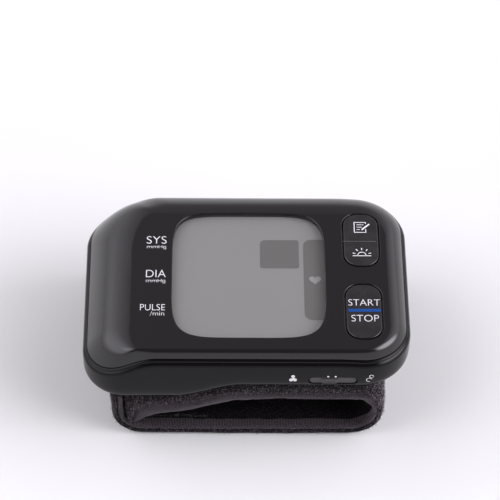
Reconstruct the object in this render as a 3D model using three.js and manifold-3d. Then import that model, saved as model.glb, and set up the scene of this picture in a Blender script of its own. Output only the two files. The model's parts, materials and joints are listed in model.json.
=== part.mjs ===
// A wrist blood pressure monitor: a slim glossy casing with a square display and two keys on a flat face,
// a deeper battery end that drops away on the left, and a padded fabric cuff whose strap folds round
// under the casing. Millimetres. X runs along the casing, Y towards the top of the display, Z up out of
// the face. The origin is on the surface it stands on, under the middle of the casing.
import * as THREE from "three";
import { mergeVertices } from "three/addons/utils/BufferGeometryUtils.js";
import Module from "manifold-3d";

const wasm = await Module();
wasm.setup();

// Casing
const caseLength = 91;
const caseDepth = 13.4;
const batteryBulge = 5.2;
const bulgeLength = 25.5;
const bulgeRun = 19;
const coverWall = 1.4;
const caseWall = 1.5;
const fit = 0.3;

// Seam between the top cover and the lower case
const shoulderReach = 1.3;
const shoulderDrop = 2.1;
const beadReach = 0.45;
const beadDrop = 0.35;
const grooveDrop = 0.85;
const bottomTuck = 4;
const wallSquareness = 6;
const seamRadiusLeft = 11.2;
const seamRadiusRight = 12.8;
const seamDepthFront = 2.6;
const seamDepthRear = 3.6;
const leftDrop = 7;
const leftDropRun = 19.6;
const rightDrop = 1;
const rightDropRun = 19.8;

// Flat part of the face, as distances in from the seam
const faceInsetLeft = 12;
const faceInsetRight = 4.8;
const faceInsetRear = 9.4;
const faceInsetFront = 1.5;
const faceCornerRearLeft = [6, 17];
const faceCornerFrontLeft = [2.6, 8];
const faceCornerRearRight = [9, 9];
const faceCornerFrontRight = [8, 9];
const rollControlShare = 0.62;
const rollStartSlope = 0.11;

// Display
const windowMarginLeft = 24.95;
const windowMarginRight = 23.45;
const windowMarginFront = 6.2;
const windowMarginRear = 11;
const windowPower = 5.2;
const lensRecess = 0.3;
const lensFlange = 0.9;
const lensFlangeThickness = 0.7;
const windowRim = 0.7;
const panelMargin = 1;
const panelThickness = 2.5;
const frameWall = 0.8;
const frameLedge = 1.2;
const frameFloor = 0.6;

// Keys
const keyWidth = 9.8;
const keyRadius = 4.2;
const keyInset = 13.1;
const keyMarginFront = 6.65;
const keyMarginRear = 10.75;
const keyGap = 7;
const keyCrown = 0.12;
const keyChamfer = 0.25;
const keyFlange = 0.7;
const keyFlangeThickness = 0.8;
const keyTravel = 0.5;
const keyStemRadius = 1.6;
const rockerStemSpacing = 10.4;
const rockerRise = 0.95;
const rockerTravel = 0.3;

// Board and what is soldered to it
const boardThickness = 1;
const boardEdgeGap = 1.4;
const boardSideGap = 5.7;
const boardBayGap = 1.1;
const tactSize = 4.2;
const tactHeight = 1.5;
const tactPlungerRadius = 1.1;
const tactPlungerHeight = 0.4;
const solder = 0.02;
const chipSize = 9;
const chipHeight = 1.1;
const radioSize = [8, 11, 1.6];
const sensorSize = [6.5, 7.5, 2.6];
const sensorPortRadius = 1.1;
const sensorPortLength = 2.2;
const buzzerRadius = 4.5;
const buzzerHeight = 2.2;

// Slide switch on the front wall
const switchInset = 21.7;
const switchDepth = 10.5;
const scoopLength = 13.4;
const scoopHeight = 2.8;
const scoopDepth = 0.7;
const switchSlotLength = 7.6;
const switchSlotHeight = 1.5;
const knobLength = 4.6;
const knobHeight = 2;
const knobProud = 0.55;
const switchTravel = 2;
const switchBodySize = [9, 3.6, 3];
const switchPadDepth = 2.6;

// Pump, valve and air path, in the bay between the batteries and the board
const motorRadius = 3.3;
const motorLength = 12;
const motorInset = 6.7;
const bayWidth = 10.9;
const pumpSink = 1.2;
const headSize = [8.4, 7.4, 6.8];
const headCavityRadius = 2.6;
const headCavityDepth = 3.4;
const crankShaftRadius = 0.55;
const crankRadius = 1.5;
const crankOffset = 0.45;
const crankThickness = 1.8;
const valveRadius = 3.1;
const valveLength = 9;
const valveGap = 7;
const plungerRadius = 0.9;
const plungerLength = 5;
const plungerTravel = 0.6;
const manifoldHeight = 4.6;
const manifoldReach = 2.7;
const airOffset = 12;
const nippleRadius = 1.3;
const nippleBore = 0.6;
const nippleInsert = 2.4;

// Batteries, two AAA cells side by side
const cellRadius = 5.25;
const cellLength = 44.5;
const cellSideAllowance = 9.45;
const cellNubRadius = 1.9;
const cellNubLength = 0.8;
const cellGap = 0.5;
const cellInset = 10.9;
const contactThickness = 0.5;
const contactWidth = 6.4;
const contactHeight = 5.2;
const springRadius = 2.6;
const springTipRadius = 1.6;
const springLength = 1.6;
const ribThickness = 1;
const batteryDoorGap = 0.3;
const batteryDoorLip = 3.6;
const batteryDoorEnd = 0.9;
const gripCount = 4;
const gripWidth = 0.7;
const gripPitch = 1.7;
const gripDepth = 0.4;
const gripLength = 16;

// Screws
const screwInset = 5.15;
const screwY = 10;
const screwRadius = 0.8;
const screwHeadRadius = 1.7;
const screwHeadHeight = 1;
const screwBossRadius = 2.05;
const screwLength = 7;
const counterboreDepth = 1.6;
const driveWidth = 0.6;
const driveDepth = 0.5;

// Snap tabs of the top cover
const tabInset = 23.5;
const tabWidth = 5;
const tabThickness = 0.6;
const tabReach = 2.6;

// Cuff, as a loop under the casing
const cuffWidth = 61;
const cuffThickness = 8;
const foldThickness = 3;
const strapThickness = 3.6;
const openingHeight = 11;
const cuffInsetRight = 6.9;
const cuffInsetLeft = 11.5;
const shoulderRadiusX = 6;
const shoulderRadiusZ = 7.4;
const leftRadius = 5;
const heelRadius = 5.5;
const tipRadius = 1.3;
const tipTurn = 43;
const tipStart = 300;
const innerTurn = 18;
const foldDrop = 12.6;
const cuffEdgeRound = 1;
const cuffSkin = 1.3;
const plateEndInset = 8.1;
const plateWidth = 46;
const plateThickness = 1.5;
const plateCornerRadius = 5;
const platePostRadius = 1.4;
const platePostInset = 6;
const plateStart = 3.4;
const pocketInset = 7;
const curlerThickness = 0.9;
const bladderThickness = 1.6;
const bladderInset = 4;
const hookThickness = 0.5;
const hookLength = 18;
const hookSink = 0.9;

// Facets
const cornerSteps = 6;
const longSideSteps = 18;
const shortSideSteps = 4;
const rollSteps = 5;
const wallSteps = 5;
const windowSteps = 56;
const keyCornerSteps = 6;
const roundSteps = 20;
const foldSteps = 6;
const bulgeSteps = 8;
const overrun = 2;

// Heights below the face, and places worked out from the sizes above
const caseWidth = cellLength + 2 * cellSideAllowance;
const windowWidth = caseLength - windowMarginLeft - windowMarginRight;
const windowHeight = caseWidth - windowMarginFront - windowMarginRear;
const windowCentre = [(windowMarginLeft - windowMarginRight) / 2, (windowMarginFront - windowMarginRear) / 2];
const keyLength = (caseWidth - keyMarginFront - keyMarginRear - keyGap) / 2;
const startKeyCentreY = -caseWidth / 2 + keyMarginFront + keyLength / 2;
const keyCentreY = caseWidth / 2 - keyMarginRear - keyLength / 2;
const switchX = caseLength / 2 - switchInset;
const tabX = caseLength / 2 - tabInset;
const cuffRight = caseLength / 2 - cuffInsetRight;
const cuffLeft = caseLength / 2 - cuffInsetLeft;
const plateLength = caseLength / 2 - plateEndInset - plateStart;
const bulgeStart = caseLength / 2 - bulgeLength - bulgeRun;
const seamHalfLength = caseLength / 2 - shoulderReach;
const seamHalfWidth = caseWidth / 2 - shoulderReach;
const coverUnder = -coverWall;
const lensFlangeTop = -windowRim - fit;
const panelTop = lensFlangeTop - lensFlangeThickness - fit;
const frameBottom = panelTop - panelThickness - fit - frameFloor;
const frameTop = panelTop - fit;
const boardTop = frameBottom - fit;
const boardBottom = boardTop - boardThickness;
const deepestUnderside = -(caseDepth + batteryBulge);
const cellCentreZ = deepestUnderside + caseWall + fit + cellRadius;
const cellLeftX = -caseLength / 2 + cellInset;
const cellRightX = cellLeftX + 2 * cellRadius + cellGap;
const bayWallX = cellRightX + cellRadius + cellGap;
const bayCentreX = bayWallX + ribThickness + bayWidth / 2;
const airX = bayCentreX + airOffset;
const boardLeft = airX + manifoldReach + boardBayGap;
const boardHalfWidth = caseWidth / 2 - boardSideGap;
const motorFrontY = -caseWidth / 2 + motorInset;
const keyX = caseLength / 2 - keyInset;
const screwX = caseLength / 2 - screwInset;
const boardRight = screwX - screwBossRadius - boardEdgeGap;
const tactTop = boardTop + tactHeight + tactPlungerHeight;
const cuffTop = -caseDepth - fit;
const strapLeft = cuffLeft + fit + strapThickness;
const strapBottom = cuffTop - cuffThickness - openingHeight - strapThickness;
const foldZ = cuffTop - foldDrop;
const faceHeight = -strapBottom;
const contactY = cellLength / 2 + fit;
const ribY = contactY + springLength + contactThickness + fit;
const bossBottom = -caseDepth + counterboreDepth + caseWall + fit;
const screwHeadBottom = -caseDepth + counterboreDepth - fit - screwHeadHeight;
const screwTop = screwHeadBottom + screwLength;
const doorHalfWidth = cellLength / 2 + cellGap;
const doorRight = cellRightX + cellRadius - batteryDoorEnd;
const doorTop = deepestUnderside + batteryDoorLip;
const bayFloor = -caseDepth + caseWall + fit;
const pumpFloor = bayFloor - pumpSink;
const headFrontY = motorFrontY + motorLength + fit;
const headRearY = headFrontY + headSize[1];
const valveFrontY = headRearY + valveGap;
const plungerFrontY = valveFrontY - plungerTravel;
const manifoldFrontY = headRearY + fit;
const manifoldRearY = plungerFrontY - plungerTravel;
const airY = (manifoldFrontY + manifoldRearY) / 2;

// Materials
const paint = (colour, roughness, metalness = 0) =>
  new THREE.MeshStandardMaterial({ color: colour, roughness, metalness });
const glossBlack = paint(0x17161a, 0.12);
const keyBlack = paint(0x1b1a1d, 0.3);
const matteBlack = paint(0x1d1c1e, 0.6);
const clearLens = paint(0xb9bcbb, 0.05);
const displayGrey = paint(0x8f908e, 0.35);
const whitePlastic = paint(0xd9d7d0, 0.5);
const boardGreen = paint(0x1d5a3a, 0.45);
const componentBlack = paint(0x141414, 0.5);
const steel = paint(0xb8b9bb, 0.3, 1);
const brass = paint(0xb98f45, 0.3, 1);
const cellSleeve = paint(0x2c5f8a, 0.35);
const fabric = paint(0x39333a, 0.95);
const rubber = paint(0xc9c6bd, 0.7);

// Small helpers for curves and solids
const smoothStep = (value) => {
  const t = Math.min(Math.max(value, 0), 1);
  return t * t * (3 - 2 * t);
};

// Depth of the underside below the face at a place along the casing.
const undersideZ = (x) => -(caseDepth + batteryBulge * smoothStep((-x - bulgeStart) / bulgeRun));

// Height of the seam at a point of its outline: lower at the rear, and dropping at both ends.
const seamZ = (x, y) => {
  const across = (y + seamHalfWidth) / (2 * seamHalfWidth);
  const along = leftDrop * smoothStep((-x - seamHalfLength + leftDropRun) / leftDropRun);
  const right = rightDrop * smoothStep((x - seamHalfLength + rightDropRun) / rightDropRun);
  return -(seamDepthFront + (seamDepthRear - seamDepthFront) * across + along + right);
};

// Points round a rectangle with elliptic corners, anticlockwise from the middle of its right side, each
// with the outward direction there. Point i and point count-i lie opposite each other across the casing.
function outline({ left, right, front, rear, rearRight, rearLeft, frontLeft, frontRight }) {
  const points = [];
  const side = (from, to, steps, normal) => {
    for (let i = 0; i < steps; i++) {
      const t = i / steps;
      points.push({
        x: from[0] + (to[0] - from[0]) * t,
        y: from[1] + (to[1] - from[1]) * t,
        normal,
      });
    }
  };
  const corner = (centre, radii, start) => {
    for (let i = 0; i < cornerSteps; i++) {
      const angle = start + (Math.PI / 2) * (i / cornerSteps);
      points.push({
        x: centre[0] + radii[0] * Math.cos(angle),
        y: centre[1] + radii[1] * Math.sin(angle),
        normal: [Math.cos(angle), Math.sin(angle)],
      });
    }
  };
  const half = shortSideSteps / 2;
  const middleY = (front + rear) / 2;
  side([right, middleY], [right, rear - rearRight[1]], half, [1, 0]);
  corner([right - rearRight[0], rear - rearRight[1]], rearRight, 0);
  side([right - rearRight[0], rear], [left + rearLeft[0], rear], longSideSteps, [0, 1]);
  corner([left + rearLeft[0], rear - rearLeft[1]], rearLeft, Math.PI / 2);
  side([left, rear - rearLeft[1]], [left, middleY], half, [-1, 0]);
  side([left, middleY], [left, front + frontLeft[1]], half, [-1, 0]);
  corner([left + frontLeft[0], front + frontLeft[1]], frontLeft, Math.PI);
  side([left + frontLeft[0], front], [right - frontRight[0], front], longSideSteps, [0, -1]);
  corner([right - frontRight[0], front + frontRight[1]], frontRight, 1.5 * Math.PI);
  side([right, front + frontRight[1]], [right, middleY], half, [1, 0]);
  return points;
}

const seam = outline({
  left: -seamHalfLength,
  right: seamHalfLength,
  front: -seamHalfWidth,
  rear: seamHalfWidth,
  rearRight: [seamRadiusRight, seamRadiusRight],
  rearLeft: [seamRadiusLeft, seamRadiusLeft],
  frontLeft: [seamRadiusLeft, seamRadiusLeft],
  frontRight: [seamRadiusRight, seamRadiusRight],
});

const face = outline({
  left: -seamHalfLength + faceInsetLeft,
  right: seamHalfLength - faceInsetRight,
  front: -seamHalfWidth + faceInsetFront,
  rear: seamHalfWidth - faceInsetRear,
  rearRight: faceCornerRearRight,
  rearLeft: faceCornerRearLeft,
  frontLeft: faceCornerFrontLeft,
  frontRight: faceCornerFrontRight,
});

// The seam outline moved out by a distance, with a height for each point.
const seamRing = (out, height) =>
  seam.map((p) => {
    const x = p.x + p.normal[0] * out;
    const y = p.y + p.normal[1] * out;
    return [x, y, height(p, x)];
  });

// A closed solid through a stack of rings with the same number of points. The first ring is closed by
// strips across it that face up, and the last by strips that face down.
function loft(rings) {
  const count = rings[0].length;
  const position = rings.flat(2);
  const index = [];
  const triangle = (a, b, c, flip) => index.push(a, flip ? c : b, flip ? b : c);
  for (let k = 0; k + 1 < rings.length; k++) {
    for (let i = 0; i < count; i++) {
      const a = k * count + i;
      const b = k * count + ((i + 1) % count);
      triangle(a, a + count, b, false);
      triangle(b, a + count, b + count, false);
    }
  }
  const cap = (base, flip) => {
    for (let i = 0; i < count / 2; i++) {
      const opposite = base + ((count - i) % count);
      if (i > 0) triangle(opposite, base + i, base + i + 1, flip);
      if (i + 1 < count / 2) triangle(opposite, base + i + 1, base + count - i - 1, flip);
    }
  };
  cap(0, false);
  cap((rings.length - 1) * count, true);
  const geometry = new THREE.BufferGeometry();
  geometry.setAttribute("position", new THREE.Float32BufferAttribute(position, 3));
  geometry.setIndex(index);
  return solidOf(geometry);
}

// Between a three.js geometry and a solid that can be joined and cut.
function solidOf(geometry) {
  const bare = geometry.clone();
  bare.deleteAttribute("normal");
  bare.deleteAttribute("uv");
  const merged = mergeVertices(bare, 1e-4);
  return new wasm.Manifold(
    new wasm.Mesh({
      numProp: 3,
      vertProperties: new Float32Array(merged.attributes.position.array),
      triVerts: new Uint32Array(merged.index.array),
    }),
  );
}

function geometryOf(solid) {
  const mesh = solid.getMesh();
  const geometry = new THREE.BufferGeometry();
  geometry.setAttribute("position", new THREE.Float32BufferAttribute(mesh.vertProperties, mesh.numProp));
  geometry.setIndex(new THREE.BufferAttribute(mesh.triVerts, 1));
  return geometry;
}

// A box between two corners.
function box(low, high) {
  const size = high.map((value, i) => value - low[i]);
  const geometry = new THREE.BoxGeometry(...size);
  geometry.translate(...low.map((value, i) => value + size[i] / 2));
  return solidOf(geometry);
}

// A cylinder or cone about a line along X, Y or Z, between two places on that axis.
function round(axis, centre, from, to, radius, endRadius = radius) {
  const geometry = new THREE.CylinderGeometry(endRadius, radius, to - from, roundSteps);
  if (axis === "x") geometry.rotateZ(-Math.PI / 2);
  if (axis === "z") geometry.rotateX(Math.PI / 2);
  const middle = (from + to) / 2;
  if (axis === "x") geometry.translate(middle, centre[0], centre[1]);
  if (axis === "y") geometry.translate(centre[0], middle, centre[1]);
  if (axis === "z") geometry.translate(centre[0], centre[1], middle);
  return solidOf(geometry);
}

// An outline in X and Y, drawn up from one height to another, with an optional chamfer on its edges.
function prism(points, bottom, top, chamfer = 0) {
  const shape = new THREE.Shape(points.map(([x, y]) => new THREE.Vector2(x, y)));
  const geometry = new THREE.ExtrudeGeometry(shape, {
    depth: top - bottom - 2 * chamfer,
    bevelEnabled: chamfer > 0,
    bevelSegments: 1,
    bevelThickness: chamfer,
    bevelSize: chamfer,
    bevelOffset: -chamfer,
    steps: 1,
  });
  geometry.translate(0, 0, bottom + chamfer);
  return solidOf(geometry);
}

// An outline in X and Z, drawn out along Y about the middle, with rounded edges. Where two of its runs
// share an end, the second copy of that point is dropped.
function band(points, width, edge) {
  const apart = (a, b) => Math.hypot(a[0] - b[0], a[1] - b[1]) > fit / 2;
  const distinct = points.filter((point, i) => apart(point, points[(i + 1) % points.length]));
  const shape = new THREE.Shape(distinct.map(([x, z]) => new THREE.Vector2(x, z)));
  const geometry = new THREE.ExtrudeGeometry(shape, {
    depth: width - 2 * edge,
    bevelEnabled: edge > 0,
    bevelSegments: 2,
    bevelThickness: edge,
    bevelSize: edge,
    bevelOffset: -edge,
    steps: 1,
  });
  geometry.rotateX(Math.PI / 2);
  geometry.translate(0, width / 2 - edge, 0);
  return solidOf(geometry);
}

const union = (...solids) => solids.reduce((joined, solid) => joined.add(solid));
const carve = (solid, ...tools) => tools.reduce((left, tool) => left.subtract(tool), solid);

// A rounded rectangle in the plane, anticlockwise.
function roundedRectangle(centre, width, height, radius) {
  const points = [];
  const reach = [width / 2 - radius, height / 2 - radius];
  const signs = [[1, 1], [-1, 1], [-1, -1], [1, -1]];
  signs.forEach(([sx, sy], quarter) => {
    for (let i = 0; i <= keyCornerSteps; i++) {
      const angle = (Math.PI / 2) * (quarter + i / keyCornerSteps);
      points.push([
        centre[0] + sx * reach[0] + radius * Math.cos(angle),
        centre[1] + sy * reach[1] + radius * Math.sin(angle),
      ]);
    }
  });
  return points;
}

// The window's outline: a rectangle with soft sides, grown by a margin.
function windowOutline(margin) {
  const points = [];
  const soften = (value) => Math.sign(value) * Math.abs(value) ** (2 / windowPower);
  for (let i = 0; i < windowSteps; i++) {
    const angle = (2 * Math.PI * i) / windowSteps;
    points.push([
      windowCentre[0] + (windowWidth / 2 + margin) * soften(Math.cos(angle)),
      windowCentre[1] + (windowHeight / 2 + margin) * soften(Math.sin(angle)),
    ]);
  }
  return points;
}

// The finished group, and what adds a piece to it
const monitor = new THREE.Group();
monitor.position.z = faceHeight;

function addPart(name, solid, material) {
  const mesh = new THREE.Mesh(geometryOf(solid), material);
  mesh.name = name;
  monitor.add(mesh);
}

// Rings of the face's rolled edge, from the flat part down to the seam. A wall moves them in and down.
function rollRings(wall) {
  const rings = [];
  for (let k = 0; k <= rollSteps; k++) {
    const t = k / rollSteps;
    rings.push(
      seam.map((s, i) => {
        const f = face[i];
        const start = [f.x - s.normal[0] * wall, f.y - s.normal[1] * wall];
        const end = [s.x - s.normal[0] * wall, s.y - s.normal[1] * wall];
        const reach = Math.hypot(end[0] - start[0], end[1] - start[1]) * rollControlShare;
        const control = [0, 1].map((n) => start[n] + (end[n] - start[n]) * rollControlShare);
        const blend = (a, b, c) => (1 - t) ** 2 * a + 2 * t * (1 - t) * b + t ** 2 * c;
        return [
          blend(start[0], control[0], end[0]),
          blend(start[1], control[1], end[1]),
          blend(-wall, -wall - reach * rollStartSlope, seamZ(s.x, s.y)),
        ];
      }),
    );
  }
  return rings;
}

// Rings of the lower case's wall, from under the shoulder round to the underside.
function wallRings(wall) {
  const rings = [];
  const exponent = 2 / wallSquareness;
  for (let k = 0; k <= wallSteps; k++) {
    const angle = (Math.PI / 2) * (k / wallSteps);
    const inShare = 1 - Math.cos(angle) ** exponent;
    const downShare = Math.sin(angle) ** exponent;
    rings.push(
      seamRing(shoulderReach - wall - bottomTuck * inShare, (p, x) => {
        const top = seamZ(p.x, p.y) - fit - shoulderDrop;
        return top + (undersideZ(x) + wall - top) * downShare;
      }),
    );
  }
  return rings;
}

// Top cover
function makeTopCover() {
  const outer = rollRings(0);
  const inner = rollRings(coverWall).reverse();
  const shell = loft([...outer, ...inner]);
  const openings = [
    prism(windowOutline(0), -overrun * 2, overrun),
    prism(windowOutline(lensFlange + fit), -overrun * 2, -windowRim),
    prism(keyOutline(keyCentreY, fit), -overrun * 2, overrun),
    prism(keyOutline(startKeyCentreY, fit), -overrun * 2, overrun),
  ];
  const envelope = loft([...outer, seamRing(0, () => bossBottom)]);
  const bosses = [-screwY, screwY].map((y) =>
    carve(
      round("z", [screwX, y], bossBottom, 0, screwBossRadius),
      round("z", [screwX, y], bossBottom - overrun, screwTop + fit, screwRadius + fit),
    ),
  );
  const tabs = [-tabX, tabX].flatMap((x) => [snapTab(x, -1), snapTab(x, 1)]);
  const additions = [...bosses, ...tabs].map((solid) => solid.intersect(envelope));
  return carve(union(shell, ...additions), ...openings);
}

// A springy tab inside the seam, reaching down into the lower case.
function snapTab(x, side) {
  const outerY = seamHalfWidth - caseWall - fit;
  const seamHeight = seamZ(x, side * seamHalfWidth);
  const y = [side * (outerY - tabThickness), side * outerY].sort((a, b) => a - b);
  return box(
    [x - tabWidth / 2, y[0], seamHeight - tabReach],
    [x + tabWidth / 2, y[1], seamHeight + coverWall],
  );
}

const keyOutline = (centreY, margin) =>
  roundedRectangle([keyX, centreY], keyWidth + 2 * margin, keyLength + 2 * margin, keyRadius + margin);

addPart("top_cover", makeTopCover(), glossBlack);

// Lower case
const outerWall = wallRings(0);
const innerWall = wallRings(caseWall).reverse();

const shoulderRings = [
  seamRing(-caseWall, (p) => seamZ(p.x, p.y) - fit),
  seamRing(0, (p) => seamZ(p.x, p.y) - fit),
  seamRing(beadReach, (p) => seamZ(p.x, p.y) - fit - beadDrop),
  seamRing(beadReach, (p) => seamZ(p.x, p.y) - fit - grooveDrop),
  seamRing((beadReach + shoulderReach) / 2, (p) => seamZ(p.x, p.y) - fit - grooveDrop - beadDrop),
];

const caseEnvelope = loft([...shoulderRings.slice(1), ...outerWall]);

function makeLowerCase() {
  const shell = loft([...innerWall, ...shoulderRings, ...outerWall]);
  const ribs = [
    box([bayWallX, -seamHalfWidth, deepestUnderside], [bayWallX + ribThickness, seamHalfWidth, frameBottom - fit]),
    box([-seamHalfLength, ribY, deepestUnderside], [bayWallX, ribY + ribThickness, cellCentreZ]),
    box([-seamHalfLength, -ribY - ribThickness, deepestUnderside], [bayWallX, -ribY, cellCentreZ]),
    ...cradleRibs(),
  ];
  const pillars = [-screwY, screwY].map((y) =>
    round("z", [screwX, y], -caseDepth - overrun, bossBottom - fit, screwBossRadius),
  );
  const switchPad = box(
    [switchX - scoopLength / 2, -seamHalfWidth - shoulderReach, -switchDepth - scoopHeight / 2],
    [switchX + scoopLength / 2, -seamHalfWidth + switchPadDepth, -switchDepth + scoopHeight / 2],
  );
  const additions = [...ribs, ...pillars, switchPad].map((solid) => solid.intersect(caseEnvelope));
  const screwHoles = [-screwY, screwY].flatMap((y) => [
    round("z", [screwX, y], -caseDepth - overrun, overrun, screwRadius + fit),
    round("z", [screwX, y], -caseDepth - overrun, -caseDepth + counterboreDepth, screwHeadRadius + fit),
  ]);
  const postHoles = platePosts().map(([x, y]) =>
    round("z", [x, y], -caseDepth - overrun, -caseDepth + caseWall + overrun, platePostRadius + fit),
  );
  const airHole = round(
    "z",
    [airX, airY],
    -caseDepth - overrun,
    -caseDepth + caseWall + overrun,
    nippleRadius + 2 * fit,
  );
  return carve(
    union(shell, ...additions),
    ...screwHoles,
    ...postHoles,
    airHole,
    doorTunnel(batteryDoorGap),
    switchScoop(),
    switchSlot(),
  );
}

// Ribs across the bay that the motor, the pump head, the manifold and the valve sit on.
function cradleRibs() {
  const places = [
    [motorFrontY + ribThickness, pumpFloor + motorRadius],
    [motorFrontY + motorLength - 2 * ribThickness, pumpFloor + motorRadius],
    [(headFrontY + headRearY) / 2, pumpFloor - fit],
    [airY, bayFloor - fit],
    [valveFrontY + ribThickness, pumpFloor + valveRadius],
    [valveFrontY + valveLength - 2 * ribThickness, pumpFloor + valveRadius],
  ];
  const rib = ([y, top]) => box([bayWallX, y, deepestUnderside], [0, y + ribThickness, top]);
  const bed = (radius, from, to) =>
    round("y", [bayCentreX, pumpFloor + radius], from - fit, to + fit, radius + fit);
  return places.map((place) =>
    carve(
      rib(place),
      bed(motorRadius, motorFrontY, motorFrontY + motorLength),
      bed(valveRadius, valveFrontY, valveFrontY + valveLength),
    ),
  );
}

// The space that the battery cover slides in: it runs out through the left end.
function doorTunnel(margin) {
  return box(
    [-caseLength, -doorHalfWidth - margin, deepestUnderside - overrun],
    [doorRight + margin, doorHalfWidth + margin, doorTop + margin],
  );
}

// Centres of the four posts that hold the cuff's base plate.
function platePosts() {
  const x = [plateStart + platePostInset, plateStart + plateLength - platePostInset];
  const y = plateWidth / 2 - platePostInset;
  return x.flatMap((place) => [[place, -y], [place, y]]);
}

// The shallow finger scoop round the slide switch, with round ends.
function switchScoop() {
  const wallY = frontWallY();
  const radius = scoopHeight / 2;
  const reach = scoopLength / 2 - radius;
  const ends = [switchX - reach, switchX + reach].map((x) =>
    round("y", [x, -switchDepth], wallY - overrun, wallY + scoopDepth, radius),
  );
  const middle = box(
    [switchX - reach, wallY - overrun, -switchDepth - radius],
    [switchX + reach, wallY + scoopDepth, -switchDepth + radius],
  );
  return union(middle, ...ends);
}

// The slot that the slide switch's stem runs in.
function switchSlot() {
  return box(
    [switchX - switchSlotLength / 2, -caseWidth, -switchDepth - switchSlotHeight / 2],
    [switchX + switchSlotLength / 2, -seamHalfWidth + switchPadDepth + overrun, -switchDepth + switchSlotHeight / 2],
  );
}

// How far out the front wall stands at the slide switch's height.
function frontWallY() {
  const top = seamZ(switchX, -seamHalfWidth) - fit - shoulderDrop;
  const down = (-switchDepth - top) / (undersideZ(switchX) - top);
  const sine = Math.min(down, 1) ** wallSquareness;
  const inShare = 1 - (1 - sine) ** (1 / wallSquareness);
  return -seamHalfWidth - shoulderReach + bottomTuck * inShare;
}

addPart("lower_case", makeLowerCase(), glossBlack);

// Battery cover: the piece of the casing's skin that fills the tunnel, with grip ridges
function makeBatteryCover() {
  const skin = loft([...innerWall, ...shoulderRings, ...outerWall]).intersect(doorTunnel(0));
  const grips = [];
  const middle = (cellLeftX + cellRightX) / 2;
  for (let i = 0; i < gripCount; i++) {
    const x = middle + (i - (gripCount - 1) / 2) * gripPitch;
    grips.push(
      box(
        [x - gripWidth / 2, -gripLength / 2, deepestUnderside - overrun],
        [x + gripWidth / 2, gripLength / 2, deepestUnderside + gripDepth],
      ),
    );
  }
  return carve(skin, ...grips);
}
addPart("battery_cover", makeBatteryCover(), glossBlack);

// Batteries and their contacts. The cells lie opposite ways round.
for (const [name, x, side] of [["left", cellLeftX, 1], ["right", cellRightX, -1]]) {
  const half = cellLength / 2;
  const nubStart = half - cellNubLength;
  const can = side > 0
    ? round("y", [x, cellCentreZ], -half, nubStart, cellRadius)
    : round("y", [x, cellCentreZ], -nubStart, half, cellRadius);
  const nub = side > 0
    ? round("y", [x, cellCentreZ], 0, half, cellNubRadius)
    : round("y", [x, cellCentreZ], -half, 0, cellNubRadius);
  addPart(`battery_${name}`, union(can, nub), cellSleeve);

  const plateY = [side * contactY, side * (contactY + contactThickness)].sort((a, b) => a - b);
  const backY = [-side * (contactY + springLength), -side * (contactY + springLength + contactThickness)];
  backY.sort((a, b) => a - b);
  const spread = contactWidth / 2;
  const contactLow = cellCentreZ - contactHeight / 2;
  const contactHigh = cellCentreZ + contactHeight / 2;
  const dimple = side > 0
    ? round("y", [x, cellCentreZ], contactY, ribY, cellNubRadius)
    : round("y", [x, cellCentreZ], -ribY, -contactY, cellNubRadius);
  addPart(
    `battery_plate_${name}`,
    union(box([x - spread, plateY[0], contactLow], [x + spread, plateY[1], contactHigh]), dimple),
    brass,
  );
  const spring = side > 0
    ? round("y", [x, cellCentreZ], -contactY - springLength - contactThickness / 2, -contactY, springRadius, springTipRadius)
    : round("y", [x, cellCentreZ], contactY, contactY + springLength + contactThickness / 2, springTipRadius, springRadius);
  addPart(
    `battery_spring_${name}`,
    union(box([x - spread, backY[0], contactLow], [x + spread, backY[1], contactHigh]), spring),
    steel,
  );
}

// Display: lens, liquid crystal panel and the frame that holds it
const lens = union(
  prism(windowOutline(-fit), lensFlangeTop - lensFlangeThickness, -lensRecess),
  prism(windowOutline(lensFlange), lensFlangeTop - lensFlangeThickness, lensFlangeTop),
);
addPart("display_lens", lens, clearLens);

const panelHalf = [windowWidth / 2 + panelMargin, windowHeight / 2 + panelMargin];
const around = (margin, low, high) =>
  box(
    [windowCentre[0] - panelHalf[0] - margin, windowCentre[1] - panelHalf[1] - margin, low],
    [windowCentre[0] + panelHalf[0] + margin, windowCentre[1] + panelHalf[1] + margin, high],
  );
addPart("display_panel", around(0, panelTop - panelThickness, panelTop), displayGrey);
addPart(
  "display_frame",
  carve(
    around(fit + frameWall, frameBottom, frameTop),
    around(fit, panelTop - panelThickness - fit, panelTop),
    around(-frameLedge, frameBottom - overrun, panelTop),
  ),
  whitePlastic,
);

// Keys
function makeKey(centreY, flangeTop, stems, travel) {
  const cap = prism(keyOutline(centreY, 0), flangeTop - keyFlangeThickness / 2, keyCrown, keyChamfer);
  const flange = prism(keyOutline(centreY, keyFlange), flangeTop - keyFlangeThickness, flangeTop);
  const feet = stems.map((y) =>
    round("z", [keyX, y], tactTop + travel, flangeTop, keyStemRadius),
  );
  return union(cap, flange, ...feet);
}
const startFlangeTop = coverUnder - fit;
const rockerFlangeTop = coverUnder - rockerRise;
const rockerStems = [keyCentreY - rockerStemSpacing / 2, keyCentreY + rockerStemSpacing / 2];
addPart("start_stop_key", makeKey(startKeyCentreY, startFlangeTop, [startKeyCentreY], keyTravel), keyBlack);
addPart("memory_rocker_key", makeKey(keyCentreY, rockerFlangeTop, rockerStems, rockerTravel), keyBlack);

// Main board, with notches for nothing but its own outline, and the parts soldered to it
addPart(
  "main_board",
  box([boardLeft, -boardHalfWidth, boardBottom], [boardRight, boardHalfWidth, boardTop]),
  boardGreen,
);

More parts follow.
